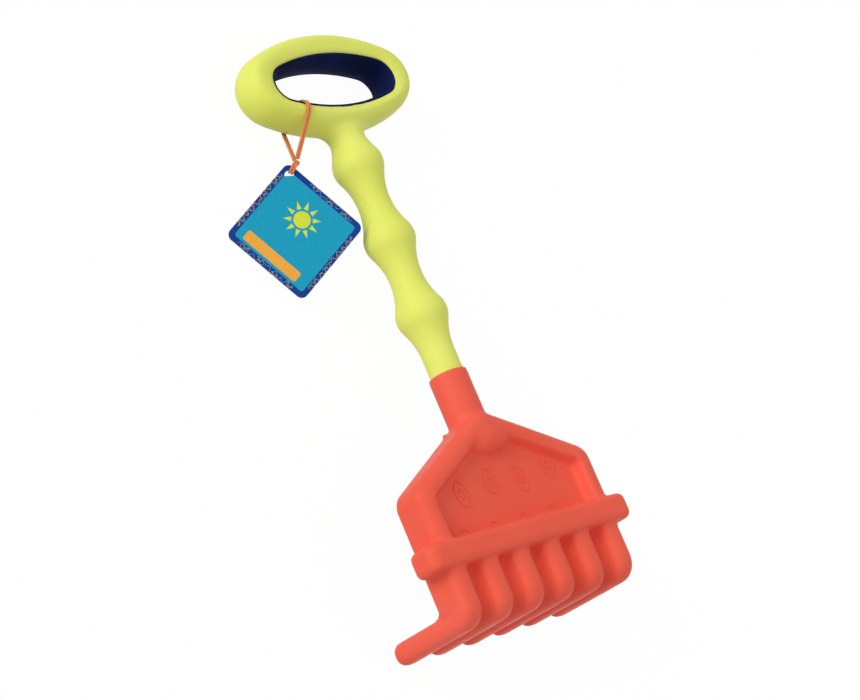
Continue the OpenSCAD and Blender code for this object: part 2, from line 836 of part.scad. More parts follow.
module tag_card() {
    corner = card_half - card_corner_r;
    color(card_blue)
        translate(card_at)
            rotate(card_turn)
                translate([0, 0, -card_t / 2])
                    linear_extrude(card_t)
                        difference() {
                            union() {
                                square([card_side, 2 * corner], center = true);
                                square([2 * corner, card_side], center = true);
                                for (x = [-corner, corner], y = [-corner, corner])
                                    translate([x, y])
                                        circle(card_corner_r);
                            }
                            translate([-card_hole_xy, card_hole_xy])
                                circle(d = card_hole_d);
                        }
}

handle();
grip_liner();
rake_head();
tag_tie();
tie_knot();
tag_card();
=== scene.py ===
"""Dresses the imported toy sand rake: moulded handle and head, grip liner, elastic tie and hang tag."""

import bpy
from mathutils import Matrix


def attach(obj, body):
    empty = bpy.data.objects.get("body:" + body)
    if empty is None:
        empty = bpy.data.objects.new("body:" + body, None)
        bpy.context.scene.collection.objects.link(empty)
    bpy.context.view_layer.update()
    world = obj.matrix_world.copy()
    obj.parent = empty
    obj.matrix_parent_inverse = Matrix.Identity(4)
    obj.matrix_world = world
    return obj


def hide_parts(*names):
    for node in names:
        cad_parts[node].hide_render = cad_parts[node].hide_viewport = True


bl_info = {
    "name": "Toy Sand Rake",
    "version": (1, 0, 0),
    "blender": (4, 5, 0),
    "location": "View3D > Sidebar > Sand Rake",
    "description": "Models a toddler's sand rake with its hang tag over its packed frame",
    "category": "Object",
}

import math

import bmesh
import bpy
from bpy.props import FloatProperty, FloatVectorProperty, IntProperty, PointerProperty
from mathutils import Euler, Matrix, Vector

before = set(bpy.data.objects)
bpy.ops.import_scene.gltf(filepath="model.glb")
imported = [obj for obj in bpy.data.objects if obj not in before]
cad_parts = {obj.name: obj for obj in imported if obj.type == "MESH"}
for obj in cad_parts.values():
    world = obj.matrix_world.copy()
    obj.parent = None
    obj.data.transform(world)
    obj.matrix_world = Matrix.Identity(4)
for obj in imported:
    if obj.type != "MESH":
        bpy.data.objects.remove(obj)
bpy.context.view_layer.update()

X = Vector((1, 0, 0))
Y = Vector((0, 1, 0))
Z = Vector((0, 0, 1))
MM = 0.001
FULL_TURN = 2 * math.pi
SHARP_ANGLE = math.radians(38)

# Sizes and places are in millimetres, apart from the camera's and the floor's
WELD = 0.01
OVAL_STEPS = 14
HANDLE_VOXEL = 1.0
HEAD_VOXEL = 1.2
MELT_PASSES = 3

# The stem's last hollows lie one and a half waves above and below its middle bulge
HOLLOW_WAVES = 1.5

# Where the neck spreads into the ring, measured from the ring's lowest point
NECK_REACH = 34
NECK_BELOW = 14
NECK_ABOVE = 7
NECK_DEPTH = 20
NECK_PASSES = 14

# Smoothing passes on the head, and how far the mound's zone reaches
MOUND_REACH = 25
MOUND_PASSES = 9
RECESS_PASSES = 5
RIB_PASSES = 9

# The rake is drawn in its own frame: x across, y up the stem, z out of the front.
# These matrices lay it down and place the card.
LIE_ANGLE = math.radians(7.687951)
LIE_SHIFT = (0, 62.88694, 36.65355)
LYING = Matrix.Scale(MM, 4) @ Matrix.Translation(LIE_SHIFT) @ Matrix.Rotation(-LIE_ANGLE, 4, "X")
CARD_AT = (-66.5, 83.5, 19.6)
CARD_TURN = Euler([math.radians(turn) for turn in (21.9, -11, -57.2)])
CARD_PLACE = Matrix.Scale(MM, 4) @ Matrix.Translation(CARD_AT) @ CARD_TURN.to_matrix().to_4x4()

# Routes of the elastic, as in the part's source: in the card's frame, and round the ring's bar
KNOT_AT = (-30.5, 38.4, 0.7)
EYE_ROUTE = (
    (-30.4, 37.8, 1.6),
    (-30.1, 36.2, 2.2),
    (-29.6, 34.2, 2.4),
    (-29.2, 32.4, 2.2),
    (-28.9, 31, 1.5),
    (-28.8, 30.5, 0),
    (-28.9, 31, -1.5),
    (-29.2, 32.4, -2.2),
    (-29.6, 34.2, -2.4),
    (-30.1, 36.2, -1.8),
    (-30.4, 37.8, -0.2),
)
TIE_ROUTE = (
    (-5.4, -26.4, 2.5),
    (-3.9, -18, 6.2),
    (-2.8, -12, 8.9),
    (-1.8, -6, 11.5),
    (-0.8, 0, 14.2),
    (0, 4.6, 16.2),
    (0, 9, 17.4),
    (-0.2, 13, 16.4),
    (-0.4, 16.2, 13.2),
    (-0.6, 18.6, 7.2),
    (-0.8, 19.4, 0),
    (-0.8, 18.6, -7.2),
    (-0.8, 16.2, -13.2),
    (-0.8, 13, -16.4),
    (-0.8, 9, -17.4),
    (-1, 4.6, -16.2),
    (-1.6, 0, -14),
    (-2.4, -6, -10.9),
    (-3.3, -12, -7.9),
    (-4.2, -18, -4.8),
    (-5.4, -26, -0.7),
)
TIE_X = -40

# Seed motifs: places on the recess floor, as shares of the pan's half width and of its height
SEED_SHARES = (
    (-0.47, 0.462),
    (-0.13, 0.5),
    (0.2, 0.471),
    (0.54, 0.515),
    (-0.6, 0.145),
    (-0.27, 0.145),
    (0.07, 0.145),
    (0.41, 0.145),
)
# A seed's outline and the smaller one inside it
SEED_RINGS = (1, 0.42)

# The card's inks, in the order of its materials
BORDER, PANEL, SUN, BAR, PALE_SCROLL, GOLD_SCROLL, BARE_BOARD = range(7)

# Printed shapes: how thick an ink is, how deep the panel and the scrolls sink into the board, and how
# far above it the sun and the bar start
INK_RISE = 0.12
PANEL_SINK = 0.05
SCROLL_SINK = 0.04
PICTURE_LIFT = 0.03

# The printed sun, with its rays' near end, far end and half width as shares of its radius
SUN_MIDDLE = (-1.5, 9.5)
SUN_RADIUS = 6.2
SUN_RAYS = 10
RAY_SHARES = (1.25, 2.2, 0.28)

# The bare bar: two corners, and the radius of its corners
BAR_CORNERS = ((-25, -28.8), (22.3, -20.8))
BAR_CORNER_R = 1.6

# Scrolls along one side of the border: start as a share of its half, number of curls, size, way out
SCROLLS = (
    (-0.98, 4, 1.5, 0.2),
    (-0.86, 3, 1.1, -0.6),
    (-0.5, 5, 1.3, 0.4),
    (-0.34, 3, 1, -0.7),
    (0.02, 4, 1.5, -0.1),
    (0.2, 3, 0.9, 0.8),
    (0.46, 5, 1.2, 0.3),
    (0.66, 2, 1.4, -0.5),
)
SCROLL_LINE = 0.45
# The scrolls' zone ends this far from the card's edge, and stays this far off its hung corner
SCROLL_MARGIN = 9
SCROLL_CLEAR = 16

# The eye's two strands lie side by side, this way and by this share of their thickness off its route
EYE_ACROSS = (0.957, 0.29, 0)
EYE_SPREAD = 0.55

# Places along the knot's winding
KNOT_STEPS = 24

# The camera's place, in metres, its ways and its lens
CAMERA_AT = (-1.0229, -0.2236, 1.1822)
CAMERA_RIGHT = (0.7355, -0.3034, 0.6059)
CAMERA_UP = (0.1446, 0.9438, 0.2970)
CAMERA_LENS = 91.79

# Lamps: way towards each, as shares of the camera's right, up and back, then its strength and spread
LAMPS = {
    "key": ((-0.75, 0.6, 0.9), 1.45, 35),
    "fill": ((0.7, 0.1, 0.9), 0.2, 60),
}
WORLD_LIGHT = 0.58

# How far the floor reaches from its middle, in metres
FLOOR_REACH = 4


def length(name, description, millimetres):
    """A size in the sidebar, given in millimetres."""
    return FloatProperty(
        name=name, description=description, default=millimetres * MM, min=0, unit="LENGTH", precision=4
    )


def paint(name, description, red, green, blue):
    """A colour in the sidebar, given as it looks, from 0 to 255."""
    linear = [srgb_to_linear(part / 255) for part in (red, green, blue)]
    return FloatVectorProperty(
        name=name, description=description, default=linear, min=0, max=1, size=3, subtype="COLOR"
    )


def srgb_to_linear(part):
    return part / 12.92 if part <= 0.04045 else ((part + 0.055) / 1.055) ** 2.4


def mm(value):
    """A sidebar length in millimetres."""
    return round(value / MM, 4)


class SandRakeHandleSizes(bpy.types.PropertyGroup):
    """Sizes of the stem, the ring and its liner"""

    wave_pitch: length("Wave pitch", "From one bulge of the stem to the next", 60)
    bulge_diameter: length("Bulge diameter", "Across a bulge of the stem", 38)
    bulge_crown: length("Bulge crown radius", "Radius of a bulge's crown, seen from the side", 18)
    waist_diameter: length("Waist diameter", "Across the stem in its hollows and in the socket", 24.6)
    neck_height: length("Neck height", "From the middle of the top bulge to the ring", 27.2)
    neck_blend: length("Neck blend radius", "Radius of the blend between the neck and the ring", 14)
    shank_height: length("Shank height", "Straight stem between the last hollow and the socket", 16.6)
    spigot_length: length("Spigot length", "Stem held inside the socket", 44)
    spigot_gap: length("Spigot gap", "Between the spigot and the socket", 0.1)
    ring_width: length("Ring width", "Across the ring", 149.6)
    ring_height: length("Ring height", "Along the stem", 77.6)
    ring_depth: length("Ring depth", "From front to back", 32)
    ring_end: length("Ring end radius", "Radius of the outline at its narrow ends", 26.8)
    ring_edge: length("Ring edge radius", "Radius of the rolled outer edge", 8)
    ring_crown: length("Ring crown radius", "Radius of the outer wall across its depth", 26)
    hole_width: length("Hole width", "Across the finger hole, without its liner", 111.6)
    hole_height: length("Hole height", "Along the stem, without the liner", 43.6)
    hole_end: length("Hole end radius", "Radius of the hole's outline at its narrow ends", 15)
    hole_drop: length("Hole drop", "How far the hole sits nearer to the stem than the ring's middle", 2.3)
    hole_edge: length("Hole edge radius", "Radius that softens the ring's face towards the hole", 12)
    liner_depth: length("Liner depth", "From front to back", 28.6)
    liner_crown: length("Liner crown", "How far the liner swells into the hole", 4.6)
    liner_edge: length("Liner edge radius", "Radius of the liner's front and back edges", 2)
    liner_seat: length("Liner seat", "How deep the liner is let into the ring", 1.5)
    liner_lip: length("Liner lip", "How far the liner's edges reach past its seat", 1.6)
    liner_gap: length("Liner gap", "Between the liner and its seat", 0.1)


class SandRakeHeadSizes(bpy.types.PropertyGroup):
    """Sizes of the head: socket, pan, band and teeth"""

    socket_diameter: length("Socket diameter", "Outside of the socket that takes the stem", 28.4)
    socket_length: length("Socket length", "Straight part above the ball end", 51.4)
    shoulder_drop: length("Shoulder drop", "From the socket's mouth to where the shoulders meet", 31.7)
    shoulder_slope: FloatProperty(
        name="Shoulder slope",
        description="Angle at which the shoulders fall away from the stem",
        default=math.radians(29),
        unit="ROTATION",
    )
    pan_width: length("Pan width", "Across the pan", 166)
    pan_height: length("Pan height", "From the lower edge to where the shoulders meet", 103.7)
    pan_corner: length("Pan corner radius", "Radius of the outline's corners", 14)
    rim_width: length("Rim width", "From the outline to the recess", 13.5)
    rim_outside: length("Rim outside radius", "Radius of the rolled front edge, outside", 9.4)
    rim_inside: length("Rim inside radius", "Radius of the rolled front edge, inside", 4)
    recess_depth: length("Recess depth", "From the rim's crest to the recess floor", 9.5)
    recess_draft: length("Recess draft", "How far the recess walls lean inwards", 3)
    floor_height: length("Floor height", "From the head's back to the recess floor", 21)
    back_set: length("Back set", "How far the back lies behind the stem's axis", 12)
    back_edge: length("Back edge radius", "Radius of the pan's back edge", 4)
    band_width: length("Band width", "Across the band", 192)
    band_height: length("Band height", "Along the stem", 19)
    band_depth: length("Band depth", "From front to back", 27.5)
    band_proud: length("Band stand-out", "How far the band stands proud of the rim", 3)
    band_corner: length("Band corner radius", "Radius of the band's corners, seen from below", 9)
    band_edge: length("Band edge radius", "Radius of the band's long edges", 5)
    tooth_count: IntProperty(name="Teeth", description="Number of teeth", default=6, min=2, max=6)
    tooth_pitch: length("Tooth pitch", "From one tooth to the next", 29.4)
    tooth_width: length("Tooth width", "Across a tooth", 18)
    tooth_thickness: length("Tooth thickness", "Thickness of a tooth's leg", 16.5)
    tooth_reach: length("Tooth reach", "How far a leg reaches behind the head's back", 62)
    tooth_drop: length("Tooth drop", "From the band to a tooth's sole", 41)
    tooth_set: length("Tooth set-back", "How far the ribs lie behind the rim's crest", 1.5)
    heel_radius: length("Heel radius", "Radius where a rib bends back into its leg", 16)
    tooth_edge: length("Tooth edge radius", "Radius of the front and sole edges", 7)
    tooth_back_edge: length("Tooth back edge radius", "Radius of the rib's back edges", 3)
    mound_radius: length("Mound radius", "Radius of the mound in which the socket ends", 13)
    mound_width: length("Mound width", "Across the mound in which the socket ends", 44)
    mound_height: length("Mound height", "From the pan's lower edge to the mound's end", 68.6)
    mound_proud: length("Mound stand-out", "How far the mound stands proud of the rims", 1.5)
    tab_size: length("Tab size", "Side of the small moulding tab beside the socket", 5.4)
    groove_radius: length("Groove radius", "Radius at the bottom of the grooves between the ribs", 3.2)
    groove_lean: FloatProperty(
        name="Groove lean",
        description="How steep the sides of the grooves are",
        default=math.radians(55),
        unit="ROTATION",
    )
    crook_radius: length("Crook radius", "Radius between a rib's back and its leg", 9)
    seed_length: length("Seed length", "Length of a seed motif on the recess floor", 21)
    seed_width: length("Seed width", "Width of a seed motif", 12)
    seed_line: length("Seed line width", "Width of the motif's raised line", 0.8)
    seed_rise: length("Seed line height", "Height of the motif's raised line", 0.5)
    seed_lean: FloatProperty(
        name="Seed lean", description="How far the seeds lean", default=math.radians(7), unit="ROTATION"
    )


class SandRakeTagSizes(bpy.types.PropertyGroup):
    """Sizes of the hang tag and its elastic"""

    card_side: length("Card side", "Side of the square card", 70)
    card_thickness: length("Card thickness", "Thickness of the card", 1)
    card_corner: length("Card corner radius", "Radius of the card's corners", 5)
    hole_diameter: length("Card hole diameter", "Hole that the elastic goes through", 7)
    hole_inset: length("Card hole inset", "From the corner's point to the hole's middle", 9.5)
    border_width: length("Border width", "Width of the card's dark border", 4.2)
    panel_corner: length("Panel corner radius", "Radius of the pale panel's corners", 2.2)
    panel_cut: length("Panel cut", "How much of the panel's corner is cut off at the hole", 5.5)
    tie_diameter: length("Tie diameter", "Thickness of the elastic round the ring", 1.8)
    tie_pitch: length("Tie pitch", "Between the tie's two strands", 1.85)
    eye_diameter: length("Eye diameter", "Thickness of the elastic in the card's hole", 1.8)
    knot_diameter: length("Knot diameter", "Across the tie's knot", 5.5)


class SandRakeColours(bpy.types.PropertyGroup):
    """Colours of the rake and its tag"""

    lime: paint("Lime", "Handle plastic", 234, 239, 118)
    lime_deep: paint("Lime, deep", "Cloudy depth of the handle plastic", 228, 235, 104)
    navy: paint("Navy", "Soft grip liner", 12, 29, 84)
    navy_deep: paint("Navy, deep", "Depth of the grip liner", 7, 18, 50)
    coral: paint("Coral", "Head plastic", 245, 102, 80)
    coral_deep: paint("Coral, deep", "Cloudy depth of the head plastic", 241, 93, 70)
    # The elastic's own colour, and a darker one painted as shade in the hollows between its ribs
    elastic: paint("Elastic", "Tie", 240, 150, 74)
    elastic_rib_shade: paint("Elastic, deep", "Between the tie's ribs", 214, 112, 44)
    border_blue: paint("Border blue", "Card border", 8, 56, 138)
    panel_blue: paint("Panel blue", "Card panel", 16, 156, 190)
    sun_yellow: paint("Sun yellow", "Printed sun", 214, 222, 62)
    bar_orange: paint("Bar orange", "Printed bar", 240, 168, 64)
    scroll_pale: paint("Scroll blue", "Pale scrolls in the border", 96, 140, 176)
    scroll_gold: paint("Scroll gold", "Gold scrolls in the border", 176, 160, 88)
    card_edge: paint("Card edge", "Bare board at the card's edge", 214, 220, 222)


# Drawing: lines, arcs and shells


def verts_in(geometry):
    return [item for item in geometry if isinstance(item, bmesh.types.BMVert)]


def faces_in(geometry):
    return [item for item in geometry if isinstance(item, bmesh.types.BMFace)]


def line_on(shell, vert, place):
    """Carries a line on from a vertex to a place and returns the line's end."""
    end = bmesh.ops.extrude_vert_indiv(shell, verts=[vert])["verts"][0]
    end.co = place
    return end


def arc_on(shell, vert, centre, turn, steps, axis=Z):
    """Carries a line on from a vertex along an arc and returns the arc's end."""
    made = bmesh.ops.spin(shell, geom=[vert], cent=centre, axis=axis, angle=turn, steps=steps)
    return verts_in(made["geom_last"])[0]


def push(shell, faces, way):
    """Extrudes faces along a way and returns the faces at its far end."""
    walled = any(near not in faces for face in faces for edge in face.edges for near in edge.link_faces)
    made = bmesh.ops.extrude_face_region(shell, geom=faces)["geom"]
    bmesh.ops.translate(shell, verts=verts_in(made), vec=way)
    if walled:
        bmesh.ops.delete(shell, geom=faces, context="FACES_ONLY")
    return faces_in(made)


def round_edges(shell, edges, radius, steps):
    bmesh.ops.bevel(
        shell,
        geom=edges,
        offset=radius,
        segments=steps,
        profile=0.5,
        affect="EDGES",
        clamp_overlap=True,
        material=-1,
    )


def round_corners(shell, corners, radius, steps):
    bmesh.ops.bevel(
        shell,
        geom=corners,
        offset=radius,
        segments=steps,
        profile=0.5,
        affect="VERTICES",
        clamp_overlap=False,
        material=-1,
    )


def edges_at(shell, axis, place):
    """Edges that lie wholly at one place along an axis."""
    return [e for e in shell.edges if all(abs(v.co[axis] - place) < WELD for v in e.verts)]


def close(shell):
    """Closes a shell's seams and poles and turns its faces outwards."""
    bmesh.ops.remove_doubles(shell, verts=shell.verts, dist=WELD)
    bmesh.ops.recalc_face_normals(shell, faces=shell.faces)


def add_shell(skin, shell):
    """Moves a finished shell into a skin."""
    close(shell)
    add_loose(skin, shell)


def add_loose(skin, shell):
    mesh = bpy.data.meshes.new("shell")
    shell.to_mesh(mesh)
    shell.free()
    skin.from_mesh(mesh)
    bpy.data.meshes.remove(mesh)


def show(mesh):
    """Links a scratch object for a mesh, so that its modifiers can be worked out."""
    scratch = bpy.data.objects.new("scratch", mesh)
    bpy.context.scene.collection.objects.link(scratch)
    return scratch


def take_back(shell, scratch):
    """Puts a scratch object's worked-out mesh into a shell and deletes the object."""
    graph = bpy.context.evaluated_depsgraph_get()
    worked_out = bpy.data.meshes.new_from_object(scratch.evaluated_get(graph))
    shell.clear()
    shell.from_mesh(worked_out)
    bpy.data.meshes.remove(worked_out)
    discard(scratch)


def discard(scratch):
    """Deletes a scratch object and its data."""
    data = scratch.data
    bpy.data.objects.remove(scratch)
    if isinstance(data, bpy.types.Mesh):
        bpy.data.meshes.remove(data)
    else:
        bpy.data.curves.remove(data)


def melt(skin, voxel, passes):
    """Melts the shells in a skin into one, with soft inside corners."""
    mesh = bpy.data.meshes.new("melt")
    skin.to_mesh(mesh)
    scratch = show(mesh)
    remesh = scratch.modifiers.new("Melt", "REMESH")
    remesh.mode = "VOXEL"
    remesh.voxel_size = voxel
    take_back(skin, scratch)
    smooth(skin, skin.verts, passes)


def smooth(skin, verts, passes):
    for _ in range(passes):
        bmesh.ops.smooth_vert(
            skin, verts=verts, factor=0.5, use_axis_x=True, use_axis_y=True, use_axis_z=True
        )


def cut(skin, cutter):
    """Cuts a closed shell out of a skin."""
    close(cutter)
    mesh = bpy.data.meshes.new("skin")
    skin.to_mesh(mesh)
    cutter_mesh = bpy.data.meshes.new("cutter")
    cutter.to_mesh(cutter_mesh)
    cutter.free()
    scratch = show(mesh)
    tool = show(cutter_mesh)
    boolean = scratch.modifiers.new("Cut", "BOOLEAN")
    boolean.operation = "DIFFERENCE"
    boolean.solver = "EXACT"
    boolean.object = tool
    take_back(skin, scratch)
    discard(tool)


def tube_along(points, diameter, name, closed=False):
    """Smooth tube through points, as a curve object."""
    curve = bpy.data.curves.new(name, "CURVE")
    curve.dimensions = "3D"
    curve.bevel_depth = diameter / 2
    curve.bevel_resolution = 4
    curve.resolution_u = 6
    curve.use_fill_caps = True
    spline = curve.splines.new("BEZIER")
    spline.bezier_points.add(len(points) - 1)
    for knot, point in zip(spline.bezier_points, points):
        knot.co = point
        knot.handle_left_type = knot.handle_right_type = "AUTO"
    spline.use_cyclic_u = closed
    tube = bpy.data.objects.new(name, curve)
    bpy.context.scene.collection.objects.link(tube)
    return tube


def finish_piece(name, skin, place, finishes, body, slot, *nodes):
    """Places a finished skin, shades it, and lets it stand for its nodes."""
    bmesh.ops.transform(skin, matrix=place, verts=skin.verts)
    for edge in skin.edges:
        edge.smooth = edge.calc_face_angle(0) < SHARP_ANGLE
    for face in skin.faces:
        face.smooth = True
    mesh = bpy.data.meshes.new(name)
    skin.to_mesh(mesh)
    skin.free()
    for finish in finishes:
        mesh.materials.append(finish)
    piece = bpy.data.objects.new(name, mesh)
    bpy.context.scene.collection.objects.link(piece)
    return settle(piece, body, slot, *nodes)


def settle(piece, body, slot, *nodes):
    """Puts a piece on its body and lets it stand for its nodes."""
    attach(piece, body)
    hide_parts(*nodes)
    return piece


# Finishes


class Finish:
    """A material whose nodes are added one by one."""

    def __init__(self, name):
        self.material = bpy.data.materials.new(name)
        self.material.use_nodes = True
        self.nodes = self.material.node_tree.nodes
        self.links = self.material.node_tree.links
        self.shader = self.nodes["Principled BSDF"]

    def add(self, kind, values=(), **settings):
        node = self.nodes.new(kind)
        for key, value in settings.items():
            setattr(node, key, value)
        for socket, value in dict(values).items():
            node.inputs[socket].default_value = value
        return node

    def give(self, values):
        """Sets uniform values on the shader's own sockets."""
        for socket, value in values.items():
            self.shader.inputs[socket].default_value = value

    def join(self, source, target):
        self.links.new(source, target)

    def coords(self, scale=(1, 1, 1), turn=(0, 0, 0)):
        """Object coordinates in metres, scaled and turned."""
        where = self.add("ShaderNodeTexCoord")
        mapping = self.add("ShaderNodeMapping", {"Scale": scale, "Rotation": turn})
        self.join(where.outputs["Object"], mapping.inputs["Vector"])
        return mapping.outputs["Vector"]

    def noise(self, vector, scale, detail=2.0, roughness=0.5):
        made = self.add(
            "ShaderNodeTexNoise", {"Scale": scale, "Detail": detail, "Roughness": roughness}
        )
        self.join(vector, made.inputs["Vector"])
        return made.outputs["Fac"]

    def ramp(self, source, low, high, start, end):
        """Maps a value's range onto a narrower one."""
        made = self.add(
            "ShaderNodeMapRange",
            {"From Min": start, "From Max": end, "To Min": low, "To Max": high},
        )
        self.join(source, made.inputs["Value"])
        return made.outputs["Result"]

    def mix(self, source, first, second, target):
        made = self.add("ShaderNodeMix", data_type="RGBA")
        made.inputs["A"].default_value = (*first, 1)
        made.inputs["B"].default_value = (*second, 1)
        self.join(source, made.inputs["Factor"])
        self.join(made.outputs["Result"], target)

    def bump(self, height, strength, distance, before=None):
        made = self.add("ShaderNodeBump", {"Strength": strength, "Distance": distance})
        self.join(height, made.inputs["Height"])
        if before:
            self.join(before, made.inputs["Normal"])
        self.join(made.outputs["Normal"], self.shader.inputs["Normal"])
        return made.outputs["Normal"]


def moulded_plastic(name, colour, deep, roughness, glow):
    """Satin moulded plastic: slow clouds of colour, fine mould texture and a soft gloss."""
    finish = Finish(name)
    coords = finish.coords()
    clouds = finish.noise(coords, 16, 3)
    finish.mix(finish.ramp(clouds, 0, 1, 0.3, 0.7), colour, deep, finish.shader.inputs["Base Color"])
    rubs = finish.noise(coords, 60, 4, 0.6)
    finish.join(
        finish.ramp(rubs, roughness - 0.05, roughness + 0.07, 0.3, 0.7),
        finish.shader.inputs["Roughness"],
    )
    grain = finish.noise(coords, 1500, 2)
    fine = finish.bump(grain, 0.09, 0.0002)
    waves = finish.noise(coords, 110, 2)
    finish.bump(waves, 0.05, 0.001, fine)
    finish.give(
        {
            "Specular IOR Level": 0.12,
            "Subsurface Weight": glow,
            "Subsurface Radius": (0.004, 0.003, 0.002),
            "Subsurface Scale": 1.0,
        }
    )
    return finish.material


def soft_rubber(name, colour, deep):
    """Soft matte rubber with a fine stipple."""
    finish = Finish(name)
    coords = finish.coords()
    clouds = finish.noise(coords, 40, 3)
    finish.mix(finish.ramp(clouds, 0, 1, 0.3, 0.7), colour, deep, finish.shader.inputs["Base Color"])
    finish.join(
        finish.ramp(clouds, 0.74, 0.84, 0.3, 0.7),
        finish.shader.inputs["Roughness"],
    )
    stipple = finish.add("ShaderNodeTexVoronoi", {"Scale": 900})
    finish.join(coords, stipple.inputs["Vector"])
    finish.bump(stipple.outputs["Distance"], 0.18, 0.0002)
    finish.give({"Specular IOR Level": 0.1})
    return finish.material


def knitted_elastic(name, colour, deep):
    """Round elastic with fine ribs round it, painted shade in the hollows between the ribs, and a silky
    fuzz.
    """
    finish = Finish(name)
    coords = finish.coords()
    ribs = finish.add(
        "ShaderNodeTexWave",
        {"Scale": 520, "Distortion": 2.0, "Detail": 2.0, "Detail Scale": 3.0},
        bands_direction="DIAGONAL",
    )
    finish.join(coords, ribs.inputs["Vector"])
    # Painted shade: the ribs' hollows take the darker colour and their crests the elastic's own
    finish.mix(ribs.outputs["Fac"], deep, colour, finish.shader.inputs["Base Color"])
    finish.bump(ribs.outputs["Fac"], 0.5, 0.0002)
    finish.give({"Roughness": 0.62, "Sheen Weight": 0.25})
    return finish.material


def printed_board(name, colour, roughness=0.3):
    """Printed and varnished card: a faint mottle in the ink under a smooth varnish."""
    finish = Finish(name)
    coords = finish.coords()
    mottle = finish.noise(coords, 420, 4, 0.7)
    faded = [min(1, part * 1.1 + 0.002) for part in colour]
    finish.mix(finish.ramp(mottle, 0, 1, 0.35, 0.65), colour, faded, finish.shader.inputs["Base Color"])
    slow = finish.noise(coords, 70, 2)
    finish.join(
        finish.ramp(slow, roughness - 0.04, roughness + 0.08, 0.3, 0.7),
        finish.shader.inputs["Roughness"],
    )
    finish.bump(slow, 0.08, 0.0006)
    finish.give({"Specular IOR Level": 0.12, "Coat Weight": 0.04})
    return finish.material


# Handle


def ring_oval(sizes):
    """Width, height and end radius of the ring's outline."""
    return mm(sizes.ring_width), mm(sizes.ring_height), mm(sizes.ring_end)


def hole_oval(sizes):
    """Width, height and end radius of the hole's outline."""
    return mm(sizes.hole_width), mm(sizes.hole_height), mm(sizes.hole_end)


def oval_sides(width, height, end_radius):
    """How far out an oval's ends turn, the radius of its long sides, and how far off that is centred."""
    half_h = height / 2
    reach = width / 2 - end_radius
    side_radius = (reach**2 + half_h**2 - end_radius**2) / (2 * (half_h - end_radius))
    return reach, side_radius, side_radius - half_h


def oval_arcs(width, height, end_radius):
    """Arcs round an oval from the middle of its top: each has a centre, a turn and a share of steps."""
    reach, _, drop = oval_sides(width, height, end_radius)
    side = math.atan(reach / drop)
    end = math.pi - 2 * side
    return (
        ((0, -drop), side, 1),
        ((-reach, 0), end, 2),
        ((0, drop), 2 * side, 2),
        ((reach, 0), end, 2),
        ((0, -drop), side, 1),
    )


def turn_round(shell, arcs, middle_y):
    """Turns what is drawn at an oval's top round the whole oval."""
    geometry = shell.verts[:] + shell.edges[:]
    for (x, y), turn, share in arcs:
        made = bmesh.ops.spin(
            shell,
            geom=geometry,
            cent=(x, middle_y + y, 0),
            axis=Z,
            angle=turn,
            steps=OVAL_STEPS * share,
        )
        geometry = made["geom_last"]


def ring_shell(sizes, ring_y, hole_y):
    """The ring: its rolled outer wall and its hole's wall are turned, then joined front and back."""
    half_d = mm(sizes.ring_depth) / 2
    edge, crown = mm(sizes.ring_edge), mm(sizes.ring_crown)
    roll_in = crown - math.sqrt((crown - edge) ** 2 - (half_d - edge) ** 2)
    roll = math.asin((half_d - edge) / (crown - edge))
    top_y = ring_y + mm(sizes.ring_height) / 2
    outside = bmesh.new()
    vert = outside.verts.new((0, top_y - roll_in, half_d))
    vert = arc_on(outside, vert, (0, top_y - roll_in, half_d - edge), roll - math.pi / 2, 8, X)
    vert = arc_on(outside, vert, (0, top_y - crown, 0), -2 * roll, 10, X)
    arc_on(outside, vert, (0, top_y - roll_in, edge - half_d), roll - math.pi / 2, 8, X)
    turn_round(outside, oval_arcs(*ring_oval(sizes)), ring_y)

    soft = mm(sizes.hole_edge)
    lip_z = mm(sizes.liner_depth) / 2
    fall = math.asin((lip_z - half_d + soft) / soft)
    run = soft * math.cos(fall)
    wall_y = hole_y + mm(sizes.hole_height) / 2
    inside = bmesh.new()
    vert = inside.verts.new((0, wall_y + run, half_d))
    vert = arc_on(inside, vert, (0, wall_y + run, half_d - soft), math.pi / 2 - fall, 5, X)
    vert = line_on(inside, vert, (0, wall_y, -vert.co.z))
    arc_on(inside, vert, (0, wall_y + run, soft - half_d), math.pi / 2 - fall, 5, X)
    turn_round(inside, oval_arcs(*hole_oval(sizes)), hole_y)

    for wall in (outside, inside):
        bmesh.ops.remove_doubles(wall, verts=wall.verts, dist=WELD)
    add_loose(outside, inside)
    for face_z in (half_d, -half_d):
        bmesh.ops.triangle_fill(outside, edges=edges_at(outside, 2, face_z), use_beauty=True)
    return outside


def turn_about_stem(shell):
    """Turns a drawn line about the stem's axis."""
    bmesh.ops.spin(
        shell,
        geom=shell.verts[:] + shell.edges[:],
        cent=(0, 0, 0),
        axis=Y,
        angle=FULL_TURN,
        steps=72,
        use_merge=True,
    )


